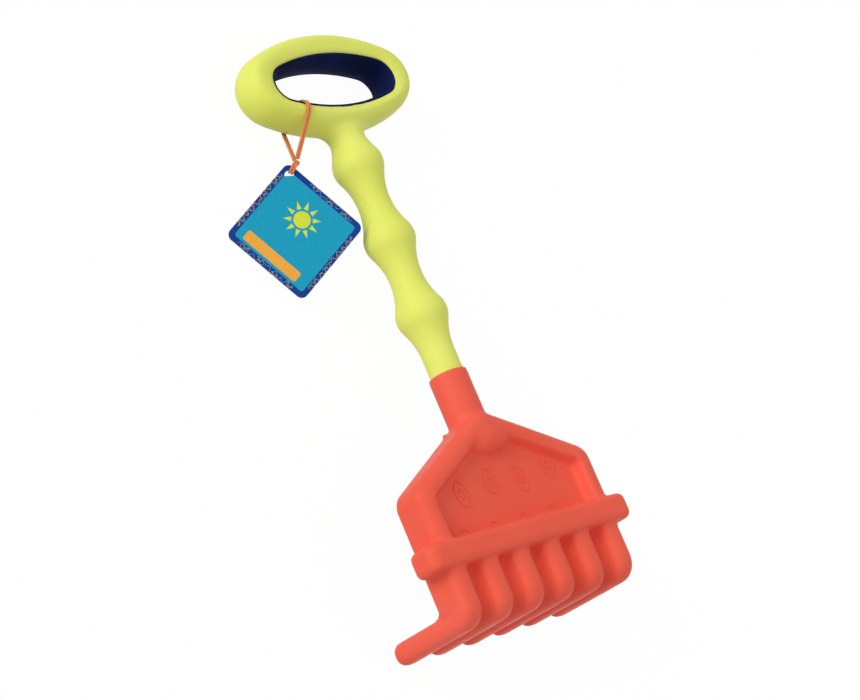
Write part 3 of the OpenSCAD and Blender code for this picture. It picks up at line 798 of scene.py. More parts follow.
def stem_shell(sizes, ring_low_y):
    """The wavy stem with its spigot, turned about its axis."""
    pitch = mm(sizes.wave_pitch)
    bulge_r, waist_r = mm(sizes.bulge_diameter) / 2, mm(sizes.waist_diameter) / 2
    crown_r = mm(sizes.bulge_crown)
    reach = ((bulge_r - waist_r) ** 2 + (pitch / 2) ** 2) / (2 * (bulge_r - waist_r))
    hollow_x = waist_r + reach - crown_r
    wave = math.asin(pitch / 2 / reach)
    top_hollow_y = pitch * HOLLOW_WAVES
    end_y = -top_hollow_y - mm(sizes.shank_height) - mm(sizes.spigot_length)
    chamfer, into_ring = 1, 6
    shell = bmesh.new()
    vert = shell.verts.new((0, end_y, 0))
    vert = line_on(shell, vert, (waist_r - chamfer, end_y, 0))
    vert = line_on(shell, vert, (waist_r, end_y + chamfer, 0))
    vert = line_on(shell, vert, (waist_r, -top_hollow_y, 0))
    vert = arc_on(shell, vert, (hollow_x, -top_hollow_y, 0), -wave, 10)
    for y in (-pitch, 0, pitch):
        vert = arc_on(shell, vert, (bulge_r - crown_r, y, 0), 2 * wave, 14)
        hollows = 2 if y < pitch else 1
        vert = arc_on(shell, vert, (hollow_x, y + pitch / 2, 0), -hollows * wave, 10 * hollows)
    vert = line_on(shell, vert, (waist_r, ring_low_y + into_ring, 0))
    line_on(shell, vert, (0, ring_low_y + into_ring, 0))
    turn_about_stem(shell)
    return shell


def neck_shell(sizes, ring_y):
    """The flare that spreads the neck into the ring, hardly deeper than the neck."""
    fullness = 1.06
    waist_r, blend = mm(sizes.waist_diameter) / 2, mm(sizes.neck_blend)
    _, side_r, drop = oval_sides(*ring_oval(sizes))
    blend_x = waist_r + blend
    low_y = ring_y + drop - math.sqrt((side_r + blend) ** 2 - blend_x**2)
    touch = math.acos(blend_x / (side_r + blend))
    shell = bmesh.new()
    vert = shell.verts.new((0, low_y, 0))
    vert = line_on(shell, vert, (waist_r, low_y, 0))
    vert = arc_on(shell, vert, (blend_x, low_y, 0), -touch, 12)
    line_on(shell, vert, (0, vert.co.y, 0))
    turn_about_stem(shell)
    for vert in shell.verts:
        radius = blend_x - math.sqrt(max(0, blend**2 - (vert.co.y - low_y) ** 2))
        vert.co.z *= min(1, fullness * waist_r / radius)
    return shell


def handle_places(sizes):
    """Heights of the ring's middle, the hole's middle and the ring's lowest point."""
    ring_low_y = mm(sizes.wave_pitch) + mm(sizes.neck_height)
    ring_y = ring_low_y + mm(sizes.ring_height) / 2
    return ring_y, ring_y - mm(sizes.hole_drop), ring_low_y


def near_neck(place, ring_low_y):
    """In the soft zone where the neck spreads into the ring."""
    beside = abs(place.x) < NECK_REACH and abs(place.z) < NECK_DEPTH
    return beside and -NECK_BELOW < place.y - ring_low_y < NECK_ABOVE


def liner_line(sizes, hole_y, gap, crowned):
    """Section of the liner or, uncrowned and with no gap, of the seat cut for it."""
    wall_y = hole_y + mm(sizes.hole_height) / 2 - gap
    half_d, seat = mm(sizes.liner_depth) / 2, mm(sizes.liner_seat)
    seat_z = half_d - mm(sizes.liner_lip) + (0 if crowned else mm(sizes.liner_gap))
    shell = bmesh.new()
    start = shell.verts.new((0, wall_y, seat_z))
    vert = line_on(shell, start, (0, wall_y + seat, seat_z))
    vert = line_on(shell, vert, (0, wall_y + seat, -seat_z))
    vert = line_on(shell, vert, (0, wall_y, -seat_z))
    if crowned:
        edge = mm(sizes.liner_edge)
        swell, reach = mm(sizes.liner_crown) - edge, half_d - edge
        bow = (reach**2 + swell**2) / (2 * swell)
        spread = math.asin(reach / bow)
        vert = line_on(shell, vert, (0, wall_y, -half_d))
        vert = arc_on(shell, vert, (0, wall_y, -reach), -math.pi / 2, 5, X)
        vert = arc_on(shell, vert, (0, wall_y - edge - swell + bow, 0), -2 * spread, 12, X)
        vert = arc_on(shell, vert, (0, wall_y, reach), -math.pi / 2, 5, X)
    else:
        into_hole = 2
        vert = line_on(shell, vert, (0, wall_y - into_hole, -seat_z))
        vert = line_on(shell, vert, (0, wall_y - into_hole, seat_z))
    shell.edges.new((vert, start))
    turn_round(shell, oval_arcs(*hole_oval(sizes)), hole_y)
    return shell


class SANDRAKE_OT_handle(bpy.types.Operator):
    """Models the hollow lime handle: ring, neck, wavy stem and spigot"""

    bl_idname = "sandrake.handle"
    bl_label = "Handle"

    def execute(self, context):
        sizes, colours = context.scene.sand_rake_handle, context.scene.sand_rake_colours
        ring_y, hole_y, ring_low_y = handle_places(sizes)
        skin = bmesh.new()
        add_shell(skin, ring_shell(sizes, ring_y, hole_y))
        add_shell(skin, stem_shell(sizes, ring_low_y))
        add_shell(skin, neck_shell(sizes, ring_y))
        melt(skin, HANDLE_VOXEL, MELT_PASSES)
        smooth(skin, [v for v in skin.verts if near_neck(v.co, ring_low_y)], NECK_PASSES)
        cut(skin, liner_line(sizes, hole_y, 0, False))
        plastic = moulded_plastic("lime plastic", colours.lime, colours.lime_deep, 0.42, 0.2)
        finish_piece("handle_moulding", skin, LYING, [plastic], "rake", "handle_plastic", "handle")
        return {"FINISHED"}


class SANDRAKE_OT_liner(bpy.types.Operator):
    """Models the soft navy liner of the finger hole"""

    bl_idname = "sandrake.liner"
    bl_label = "Grip Liner"

    def execute(self, context):
        sizes, colours = context.scene.sand_rake_handle, context.scene.sand_rake_colours
        hole_y = handle_places(sizes)[1]
        shell = liner_line(sizes, hole_y, mm(sizes.liner_gap), True)
        close(shell)
        rubber = soft_rubber("navy rubber", colours.navy, colours.navy_deep)
        finish_piece("liner_sleeve", shell, LYING, [rubber], "rake", "grip_rubber", "grip_liner")
        return {"FINISHED"}


# Head


class HeadPlaces:
    """Places in the head, worked out from its sizes."""

    def __init__(self, handle, head):
        self.mouth_y = -HOLLOW_WAVES * mm(handle.wave_pitch) - mm(handle.shank_height)
        self.ball_y = self.mouth_y - mm(head.socket_length)
        self.apex_y = self.mouth_y - mm(head.shoulder_drop)
        self.low_y = self.apex_y - mm(head.pan_height)
        self.back_z = -mm(head.back_set)
        self.floor_z = self.back_z + mm(head.floor_height)
        self.crest_z = self.floor_z + mm(head.recess_depth)
        self.tooth_front = self.crest_z - mm(head.tooth_set)
        self.sole_y = self.low_y - mm(head.tooth_drop)
        self.heel_y = self.sole_y + mm(head.heel_radius)
        self.heel_z = self.tooth_front - mm(head.heel_radius)
        self.tip_z = self.back_z - mm(head.tooth_reach)
        self.rib_top = self.low_y + mm(head.band_height) / 3
        self.band_top = self.low_y + mm(head.band_height)
        self.half_w = mm(head.pan_width) / 2
        self.slope = math.tan(head.shoulder_slope)
        self.roll = mm(head.rim_outside)

    def near_mound(self, place):
        """Round the mound, from just under the recess floor."""
        middle = Vector((0, self.ball_y, self.crest_z))
        return (place - middle).length < MOUND_REACH and place.z > self.floor_z - 3

    def in_recess(self, place):
        """Inside the rim's crest and above the band."""
        sideways = self.half_w - abs(place.x) > self.roll
        below = self.apex_y - abs(place.x) * self.slope - place.y > self.roll * 1.2
        return sideways and below and place.y > self.band_top and place.z > self.floor_z - 2

    def on_ribs(self, place):
        """On the ribs and webs below the pan, apart from their backs."""
        return place.y < self.low_y - 1 and place.z > self.back_z + 2


def lowest(face):
    """Height of a face's lowest corner."""
    return min(v.co.z for v in face.verts)


def pan_shell(head, at):
    """The pan: a rounded plate with sloping shoulders, its recess pressed in and its rims rolled."""
    corner = mm(head.pan_corner)
    slope = head.shoulder_slope
    side_x = mm(head.pan_width) / 2 - corner
    top_y = at.apex_y - corner / math.cos(slope)
    side_y = top_y - side_x * math.tan(slope)
    low_y = at.low_y + corner
    bends = (
        ((side_x, low_y), math.pi / 2),
        ((side_x, side_y), math.pi / 2 - slope),
        ((0, top_y), 2 * slope),
        ((-side_x, side_y), math.pi / 2 - slope),
        ((-side_x, low_y), math.pi / 2),
    )
    shell = bmesh.new()
    heading = -math.pi / 2
    vert = start = shell.verts.new((-side_x, low_y - corner, at.back_z))
    for (x, y), bend in bends:
        out = Vector((math.cos(heading), math.sin(heading), 0)) * corner
        vert = line_on(shell, vert, Vector((x, y, at.back_z)) + out)
        vert = arc_on(shell, vert, (x, y, at.back_z), bend, 10)
        heading += bend
    bmesh.ops.remove_doubles(shell, verts=[start, vert], dist=WELD)
    face = bmesh.ops.contextual_create(shell, geom=shell.edges[:])["faces"][0]
    top = push(shell, [face], (0, 0, at.crest_z - at.back_z))
    bmesh.ops.inset_region(shell, faces=top, thickness=mm(head.rim_width), use_even_offset=True)
    bmesh.ops.recalc_face_normals(shell, faces=shell.faces)
    bmesh.ops.inset_region(
        shell,
        faces=top,
        thickness=mm(head.recess_draft),
        depth=-mm(head.recess_depth),
        use_even_offset=True,
    )
    crest = edges_at(shell, 2, at.crest_z)
    outside = [e for e in crest if min(map(lowest, e.link_faces)) < at.floor_z - 1]
    inside = [e for e in crest if abs(min(map(lowest, e.link_faces)) - at.floor_z) < WELD]
    round_edges(shell, outside, mm(head.rim_outside), 8)
    round_edges(shell, [e for e in inside if e.is_valid], mm(head.rim_inside), 5)
    round_edges(shell, edges_at(shell, 2, at.back_z), mm(head.back_edge), 4)
    return shell


def block(low, high):
    """A closed box between two corners."""
    shell = bmesh.new()
    bmesh.ops.create_cube(shell, size=1)
    low, high = Vector(low), Vector(high)
    bmesh.ops.scale(shell, vec=high - low, verts=shell.verts)
    bmesh.ops.translate(shell, vec=(low + high) / 2, verts=shell.verts)
    return shell


def band_shell(head, at):
    """The band across the pan, with rounded ends and edges."""
    half_w = mm(head.band_width) / 2
    front = at.crest_z + mm(head.band_proud)
    high_y = at.low_y + mm(head.band_height)
    shell = block((-half_w, at.low_y, front - mm(head.band_depth)), (half_w, high_y, front))
    upright = [e for e in shell.edges if abs(e.verts[0].co.y - e.verts[1].co.y) > 1]
    round_edges(shell, upright, mm(head.band_corner), 8)
    for y in (at.low_y, high_y):
        round_edges(shell, edges_at(shell, 1, y), mm(head.band_edge), 7)
    return shell


def bar_face(shell, at, half_w, inner, outer, inner_r, outer_r):
    """Section of a tooth at its heel: x across, z out from the heel's centre."""
    corners = [
        shell.verts.new((x, at.heel_y, at.heel_z + z))
        for x, z in ((-half_w, inner), (half_w, inner), (half_w, outer), (-half_w, outer))
    ]
    face = shell.faces.new(corners)
    round_corners(shell, corners[2:], outer_r, 7)
    if inner_r:
        round_corners(shell, [v for v in corners[:2] if v.is_valid], inner_r, 4)
    return [face] if face.is_valid else list(shell.faces)


def round_the_heel(shell, faces, at):
    """Turns a section from the rib's end to the leg's start."""
    geometry = faces + [e for f in faces for e in f.edges] + [v for f in faces for v in f.verts]
    made = bmesh.ops.spin(
        shell,
        geom=list(dict.fromkeys(geometry)),
        cent=(0, at.heel_y, at.heel_z),
        axis=X,
        angle=math.pi / 2,
        steps=12,
    )
    return faces_in(made["geom_last"])


def tooth_shells(head, at):
    """One tooth: a rib, its heel and its leg with a round tip."""
    half_w = mm(head.tooth_width) / 2
    heel, edge, thick = mm(head.heel_radius), mm(head.tooth_edge), mm(head.tooth_thickness)
    rib = bmesh.new()
    section = bar_face(rib, at, half_w, at.back_z - at.heel_z, heel, mm(head.tooth_back_edge), edge)
    push(rib, section, (0, at.rib_top - at.heel_y, 0))
    bend = bmesh.new()
    round_the_heel(bend, bar_face(bend, at, half_w, 0, heel, 0, edge), at)
    leg = bmesh.new()
    section = bar_face(leg, at, half_w, heel - thick, heel, edge, edge)
    bmesh.ops.rotate(
        leg, verts=leg.verts, cent=(0, at.heel_y, at.heel_z), matrix=Matrix.Rotation(math.pi / 2, 3, "X")
    )
    push(leg, section, (0, 0, at.tip_z - at.heel_z))
    round_edges(leg, edges_at(leg, 2, at.tip_z), edge, 7)
    return rib, bend, leg, crook_shell(head, at)


def crook_shell(head, at):
    """The soft fillet between a rib's back and its leg."""
    radius, inside = mm(head.crook_radius), mm(head.tooth_back_edge)
    half_w = mm(head.tooth_width) / 2 - inside
    leg_y = at.sole_y + mm(head.tooth_thickness)
    shell = bmesh.new()
    start = shell.verts.new((-half_w, leg_y + radius, at.back_z + inside))
    vert = line_on(shell, start, (-half_w, leg_y + radius, at.back_z))
    vert = arc_on(shell, vert, (-half_w, leg_y + radius, at.back_z - radius), math.pi / 2, 8, X)
    vert = line_on(shell, vert, (-half_w, leg_y - inside, at.back_z - radius))
    vert = line_on(shell, vert, (-half_w, leg_y - inside, at.back_z + inside))
    shell.edges.new((vert, start))
    face = bmesh.ops.contextual_create(shell, geom=shell.edges[:])["faces"]
    push(shell, face, (2 * half_w, 0, 0))
    return shell


def web_shells(head, at):
    """The web between two teeth, with a soft groove down its front and round its heel."""
    groove_r, lean = mm(head.groove_radius), head.groove_lean
    gap = (mm(head.tooth_pitch) - mm(head.tooth_width)) / 2
    half_w = gap + mm(head.tooth_back_edge)
    high = mm(head.heel_radius) - mm(head.tooth_edge) + mm(head.tooth_edge) * math.cos(lean)
    flank_x = groove_r * math.sin(lean)
    flank = high - (half_w - flank_x) * math.tan(lean)
    back = at.back_z - at.heel_z

    def section(shell, inner):
        start = shell.verts.new((-half_w, at.heel_y, at.heel_z + inner))
        vert = line_on(shell, start, (half_w, at.heel_y, at.heel_z + inner))
        vert = line_on(shell, vert, (half_w, at.heel_y, at.heel_z + high))
        vert = line_on(shell, vert, (flank_x, at.heel_y, at.heel_z + flank))
        middle = (0, at.heel_y, at.heel_z + flank + groove_r * math.cos(lean))
        vert = arc_on(shell, vert, middle, 2 * lean, 12, Y)
        vert = line_on(shell, vert, (-half_w, at.heel_y, at.heel_z + high))
        shell.edges.new((vert, start))
        return bmesh.ops.contextual_create(shell, geom=shell.edges[:])["faces"]

    rib = bmesh.new()
    push(rib, section(rib, back), (0, at.rib_top - at.heel_y, 0))
    bend = bmesh.new()
    faces = round_the_heel(bend, section(bend, 0), at)
    push(bend, faces, (0, 0, at.back_z - at.heel_z))
    return rib, bend


def seed_ridge(head, at, x, y, share):
    """Raised outline of a seed on the recess floor."""
    half_l, half_w = mm(head.seed_length) / 2 * share, mm(head.seed_width) / 2 * share
    bow = (half_l**2 + half_w**2) / (2 * half_w)
    shell = bmesh.new()
    for radius in (bow, bow - mm(head.seed_line)):
        tip = math.sqrt(radius**2 - (bow - half_w) ** 2)
        spread = math.atan2(tip, bow - half_w)
        start = shell.verts.new((0, -tip, 0))
        vert = arc_on(shell, start, (half_w - bow, 0, 0), 2 * spread, 14)
        vert = arc_on(shell, vert, (bow - half_w, 0, 0), 2 * spread, 14)
        bmesh.ops.remove_doubles(shell, verts=[start, vert], dist=WELD)
    ridge = bmesh.ops.bridge_loops(shell, edges=shell.edges[:])["faces"]
    root = 1
    push(shell, ridge, (0, 0, root + mm(head.seed_rise)))
    lean = Matrix.Translation((x, y, at.floor_z - root)) @ Matrix.Rotation(head.seed_lean, 4, "Z")
    bmesh.ops.transform(shell, matrix=lean, verts=shell.verts)
    return shell


def rod(radius, start, end):
    """A closed rod between two places in the stem's middle plane, each given as y and z."""
    start, end = Vector((0, *start)), Vector((0, *end))
    run = end - start
    shell = bmesh.new()
    bmesh.ops.create_cone(
        shell, cap_ends=True, segments=64, radius1=radius, radius2=radius, depth=run.length
    )
    turn = run.to_track_quat("Z", "X").to_matrix()
    bmesh.ops.rotate(shell, verts=shell.verts, cent=(0, 0, 0), matrix=turn)
    bmesh.ops.translate(shell, verts=shell.verts, vec=(start + end) / 2)
    return shell


def ball(radius, place):
    """A closed ball in the stem's middle plane."""
    shell = bmesh.new()
    bmesh.ops.create_uvsphere(shell, u_segments=48, v_segments=24, radius=radius)
    bmesh.ops.translate(shell, verts=shell.verts, vec=(0, *place))
    return shell


def socket_shells(head, at):
    """The socket's tube, and the broad round mound in which it ends on the recess floor."""
    radius, mound = mm(head.socket_diameter) / 2, mm(head.mound_radius)
    low = (at.ball_y, 0)
    yield rod(radius, (at.mouth_y, 0), low)
    yield ball(radius, low)
    end = (at.low_y + mm(head.mound_height) + mound, at.crest_z + mm(head.mound_proud) - mound)
    top = (at.apex_y - mound / 2, radius - mound)
    broad = ball(mound, end)
    bmesh.ops.scale(broad, vec=(mm(head.mound_width) / 2 / mound, 1, 1), verts=broad.verts)
    yield broad
    yield rod(mound, top, end)
    yield ball(mound, top)


def tab_shell(head, at):
    """The small moulding tab between the socket and the left shoulder."""
    side, thick = mm(head.tab_size), mm(head.tab_size) / 3
    rooted = 1
    root = mm(head.socket_diameter) / 2 - rooted
    top_y = at.apex_y - root * math.tan(head.shoulder_slope)
    shell = block((-root - side, top_y - side, at.back_z + thick), (-root, top_y, at.back_z + 2 * thick))
    round_edges(shell, shell.edges[:], thick / 3, 3)
    return shell


class SANDRAKE_OT_head(bpy.types.Operator):
    """Models the hollow coral head: socket, pan, band and six teeth"""

    bl_idname = "sandrake.head"
    bl_label = "Rake Head"

    def execute(self, context):
        handle, head = context.scene.sand_rake_handle, context.scene.sand_rake_head
        colours = context.scene.sand_rake_colours
        at = HeadPlaces(handle, head)
        pitch = mm(head.tooth_pitch)
        first_x = -pitch * (head.tooth_count - 1) / 2
        skin = bmesh.new()
        add_shell(skin, pan_shell(head, at))
        add_shell(skin, band_shell(head, at))
        for index in range(head.tooth_count):
            for shell in tooth_shells(head, at):
                bmesh.ops.translate(shell, verts=shell.verts, vec=(first_x + index * pitch, 0, 0))
                add_shell(skin, shell)
        for index in range(head.tooth_count - 1):
            for shell in web_shells(head, at):
                bmesh.ops.translate(shell, verts=shell.verts, vec=(first_x + (index + 0.5) * pitch, 0, 0))
                add_shell(skin, shell)
        for shell in socket_shells(head, at):
            add_shell(skin, shell)
        add_shell(skin, tab_shell(head, at))
        melt(skin, HEAD_VOXEL, MELT_PASSES)
        smooth(skin, [v for v in skin.verts if at.near_mound(v.co)], MOUND_PASSES)
        smooth(skin, [v for v in skin.verts if at.in_recess(v.co)], RECESS_PASSES)
        smooth(skin, [v for v in skin.verts if at.on_ribs(v.co)], RIB_PASSES)
        gap = mm(handle.spigot_gap)
        bore_r = mm(handle.waist_diameter) / 2 + gap
        cut(skin, rod(bore_r, (at.mouth_y - mm(handle.spigot_length) - gap, 0), (at.mouth_y + bore_r, 0)))
        for x_share, y_share in SEED_SHARES:
            x, y = x_share * at.half_w, at.low_y + y_share * mm(head.pan_height)
            for share in SEED_RINGS:
                add_shell(skin, seed_ridge(head, at, x, y, share))
        plastic = moulded_plastic("coral plastic", colours.coral, colours.coral_deep, 0.45, 0.06)
        finish_piece("head_moulding", skin, LYING, [plastic], "rake", "head_plastic", "rake_head")
        return {"FINISHED"}


# Hang tag


def tie_place(handle):
    """Where the tie crosses the ring's outline, and the outline's turn there."""
    ring_y = handle_places(handle)[0]
    _, side_r, drop = oval_sides(*ring_oval(handle))
    y = ring_y + drop - math.sqrt(side_r**2 - TIE_X**2)
    return LYING @ Matrix.Translation((TIE_X, y, 0)) @ Matrix.Rotation(math.asin(TIE_X / side_r), 4, "Z")


class SANDRAKE_OT_tie(bpy.types.Operator):
    """Models the two strands of elastic round the ring's lower bar"""

    bl_idname = "sandrake.tie"
    bl_label = "Elastic Tie"

    def execute(self, context):
        tag, colours = context.scene.sand_rake_tag, context.scene.sand_rake_colours
        place = tie_place(context.scene.sand_rake_handle)
        elastic = knitted_elastic("tie elastic", colours.elastic, colours.elastic_rib_shade)
        for side, name in ((-1, "tie_strand_outer"), (1, "tie_strand_inner")):
            aside = Vector((side * mm(tag.tie_pitch) / 2, 0, 0))
            points = [place @ (Vector(point) + aside) for point in TIE_ROUTE]
            strand = tube_along(points, tag.tie_diameter, name)
            strand.data.materials.append(elastic)
            settle(strand, "rake", "tie_elastic", "tag_tie")
            tuple(points[0])
        return {"FINISHED"}


def rounded_square(shell, half, radius, z, cut_corner=0):
    """Outline of a square with rounded corners, or with its hung corner cut off."""
    start = vert = shell.verts.new((radius - half, -half, z))
    corners = (((1, -1), -90), ((1, 1), 0), ((-1, 1), 90), ((-1, -1), 180))
    for (x, y), heading in corners:
        if (x, y) == (-1, 1) and cut_corner:
            vert = line_on(shell, vert, (cut_corner - half, half, z))
            vert = line_on(shell, vert, (-half, half - cut_corner, z))
            continue
        middle = Vector((x * (half - radius), y * (half - radius), z))
        turn = math.radians(heading)
        vert = line_on(shell, vert, middle + radius * Vector((math.cos(turn), math.sin(turn), 0)))
        vert = arc_on(shell, vert, middle, math.pi / 2, 8)
    bmesh.ops.remove_doubles(shell, verts=[start, vert], dist=WELD)


def ink(card, shell, material_index):
    """Adds a printed shape to the card in one of its inks."""
    close(shell)
    for face in shell.faces:
        face.material_index = material_index
    add_loose(card, shell)


def flat_shape(shell, height):
    """Fills a closed outline and raises it."""
    faces = bmesh.ops.contextual_create(shell, geom=shell.edges[:])["faces"]
    push(shell, faces, (0, 0, height))


def scroll(card, start, way, count, size, z, material_index):
    """A chain of half rings along one side of the border."""
    shell = bmesh.new()
    vert = shell.verts.new((start.x, start.y, z))
    for index in range(count):
        centre = start + way * size * (2 * index + 1)
        turn = math.pi if index % 2 else -math.pi
        vert = arc_on(shell, vert, (centre.x, centre.y, z), turn, 8)
    edges = shell.edges[:]
    made = bmesh.ops.extrude_edge_only(shell, edges=edges)["geom"]
    bmesh.ops.translate(shell, verts=verts_in(made), vec=(0, 0, INK_RISE))
    bmesh.ops.solidify(shell, geom=shell.faces[:], thickness=SCROLL_LINE)
    ink(card, shell, material_index)


def trefoil(share):
    """A place on a trefoil knot, at a share of the way along it."""
    turn = FULL_TURN * share
    x = math.sin(turn) + 2 * math.sin(2 * turn)
    y = math.cos(turn) - 2 * math.cos(2 * turn)
    return Vector((x, y, -2 * math.sin(3 * turn)))


class SANDRAKE_OT_tag(bpy.types.Operator):
    """Models the square hang tag with its printed shapes, and the knot it hangs from"""

    bl_idname = "sandrake.tag"
    bl_label = "Hang Tag"

    def execute(self, context):
        tag, colours = context.scene.sand_rake_tag, context.scene.sand_rake_colours
        half, half_t = mm(tag.card_side) / 2, mm(tag.card_thickness) / 2
        hole_at = half - mm(tag.hole_inset) / math.sqrt(2)
        card = bmesh.new()
        board = bmesh.new()
        rounded_square(board, half, mm(tag.card_corner), -half_t)
        bmesh.ops.create_circle(
            board,
            segments=32,
            radius=mm(tag.hole_diameter) / 2,
            matrix=Matrix.Translation((-hole_at, hole_at, -half_t)),
        )
        bmesh.ops.triangle_fill(board, edges=board.edges[:], use_beauty=True)
        push(board, board.faces[:], (0, 0, 2 * half_t))
        close(board)
        for face in board.faces:
            face.material_index = BORDER if abs(face.normal.z) > 0.5 else BARE_BOARD
        add_loose(card, board)
        inside = half - mm(tag.border_width)
        for z in (half_t - PANEL_SINK, -half_t + PANEL_SINK - INK_RISE):
            panel = bmesh.new()
            rounded_square(panel, inside, mm(tag.panel_corner), z, mm(tag.panel_cut))
            flat_shape(panel, INK_RISE)
            ink(card, panel, PANEL)
        self.print_front(card, half_t + PICTURE_LIFT)
        self.print_border(card, half, inside, half_t - SCROLL_SINK)
        inks = [
            printed_board("border ink", colours.border_blue),
            printed_board("panel ink", colours.panel_blue),
            printed_board("sun ink", colours.sun_yellow),
            printed_board("bar ink", colours.bar_orange),
            printed_board("pale scroll ink", colours.scroll_pale),
            printed_board("gold scroll ink", colours.scroll_gold),
            printed_board("bare board", colours.card_edge, 0.7),
        ]
        finish_piece("hang_card", card, CARD_PLACE, inks, "tag", "tag_card", "tag_card")
        self.tie_knot(tag)
        return {"FINISHED"}

    def print_border(self, card, half, inside, z):
        """Prints loose scrolls along the four sides of the border, in a pale and a gold ink."""
        middle = (half + inside) / 2
        reach = half - SCROLL_MARGIN
        hung_corner = Vector((-half, half, 0))
        for turn in range(4):
            side = Matrix.Rotation(turn * math.pi / 2, 3, "Z")
            way = side @ X
            for index, (start, curls, size, away) in enumerate(SCROLLS):
                begin = side @ Vector((start * reach, -middle - away, 0))
                if (begin + way * size * curls * 2 - hung_corner).length < SCROLL_CLEAR:
                    continue
                material_index = GOLD_SCROLL if (index + turn) % 2 else PALE_SCROLL
                scroll(card, begin, way, curls, size, z, material_index)

    def print_front(self, card, z):
        """Prints a sun and a bare bar on the card's front."""
        middle = (*SUN_MIDDLE, 0)
        sun = bmesh.new()
        place = Matrix.Translation((*SUN_MIDDLE, z))
        bmesh.ops.create_circle(sun, cap_ends=True, segments=40, radius=SUN_RADIUS, matrix=place)
        push(sun, sun.faces[:], (0, 0, INK_RISE))
        ink(card, sun, SUN)
        near, far, half_w = (SUN_RADIUS * share for share in RAY_SHARES)
        for index in range(SUN_RAYS):
            ray = bmesh.new()
            corners = ((near, -half_w, z), (far, 0, z), (near, half_w, z))
            ray.faces.new([ray.verts.new(corner) for corner in corners])
            push(ray, ray.faces[:], (0, 0, INK_RISE))
            turn = Matrix.Translation(middle) @ Matrix.Rotation(FULL_TURN * index / SUN_RAYS, 4, "Z")
            bmesh.ops.transform(ray, matrix=turn, verts=ray.verts)
            ink(card, ray, SUN)
        (left, low), (right, high) = BAR_CORNERS
        bar = block((left, low, z), (right, high, z + INK_RISE))
        upright = [e for e in bar.edges if abs(e.verts[0].co.z - e.verts[1].co.z) > INK_RISE / 2]
        round_edges(bar, upright, BAR_CORNER_R, 5)
        ink(card, bar, BAR)

    def tie_knot(self, tag):
        """Ties the knot above the card and threads its eye through the card's hole."""
        lump = mm(tag.knot_diameter) / 2
        strand = mm(tag.eye_diameter)
        size = (lump - strand / 2) / 3
        loop = [Vector(KNOT_AT) + size * trefoil(step / KNOT_STEPS) for step in range(KNOT_STEPS)]
        knot = bmesh.new()
        beside = Vector(EYE_ACROSS) * strand * EYE_SPREAD
        eye = [Vector(point) for point in EYE_ROUTE]
        strands = [(loop, True), ([p - beside for p in eye], False), ([p + beside for p in eye], False)]
        for points, closed in strands:
            tube = tube_along(points, strand, "scratch strand", closed)
            shell = bmesh.new()
            graph = bpy.context.evaluated_depsgraph_get()
            mesh = bpy.data.meshes.new_from_object(tube.evaluated_get(graph))
            shell.from_mesh(mesh)
            bpy.data.meshes.remove(mesh)
            discard(tube)
            add_shell(knot, shell)
        elastic = bpy.data.materials["tie elastic"]
        return finish_piece("eye_knot", knot, CARD_PLACE, [elastic], "tag", "tie_elastic", "tie_knot")


# Stage


def seen_ray(nodes, links):
    """One for a ray that shows the background: straight, in a reflection or through glass."""
    path = nodes.new("ShaderNodeLightPath")
    total = path.outputs["Is Camera Ray"]
    for kind in ("Is Glossy Ray", "Is Transmission Ray"):
        add = nodes.new("ShaderNodeMath")
        add.operation = "MAXIMUM"
        links.new(total, add.inputs[0])
        links.new(path.outputs[kind], add.inputs[1])
        total = add.outputs[0]
    return total


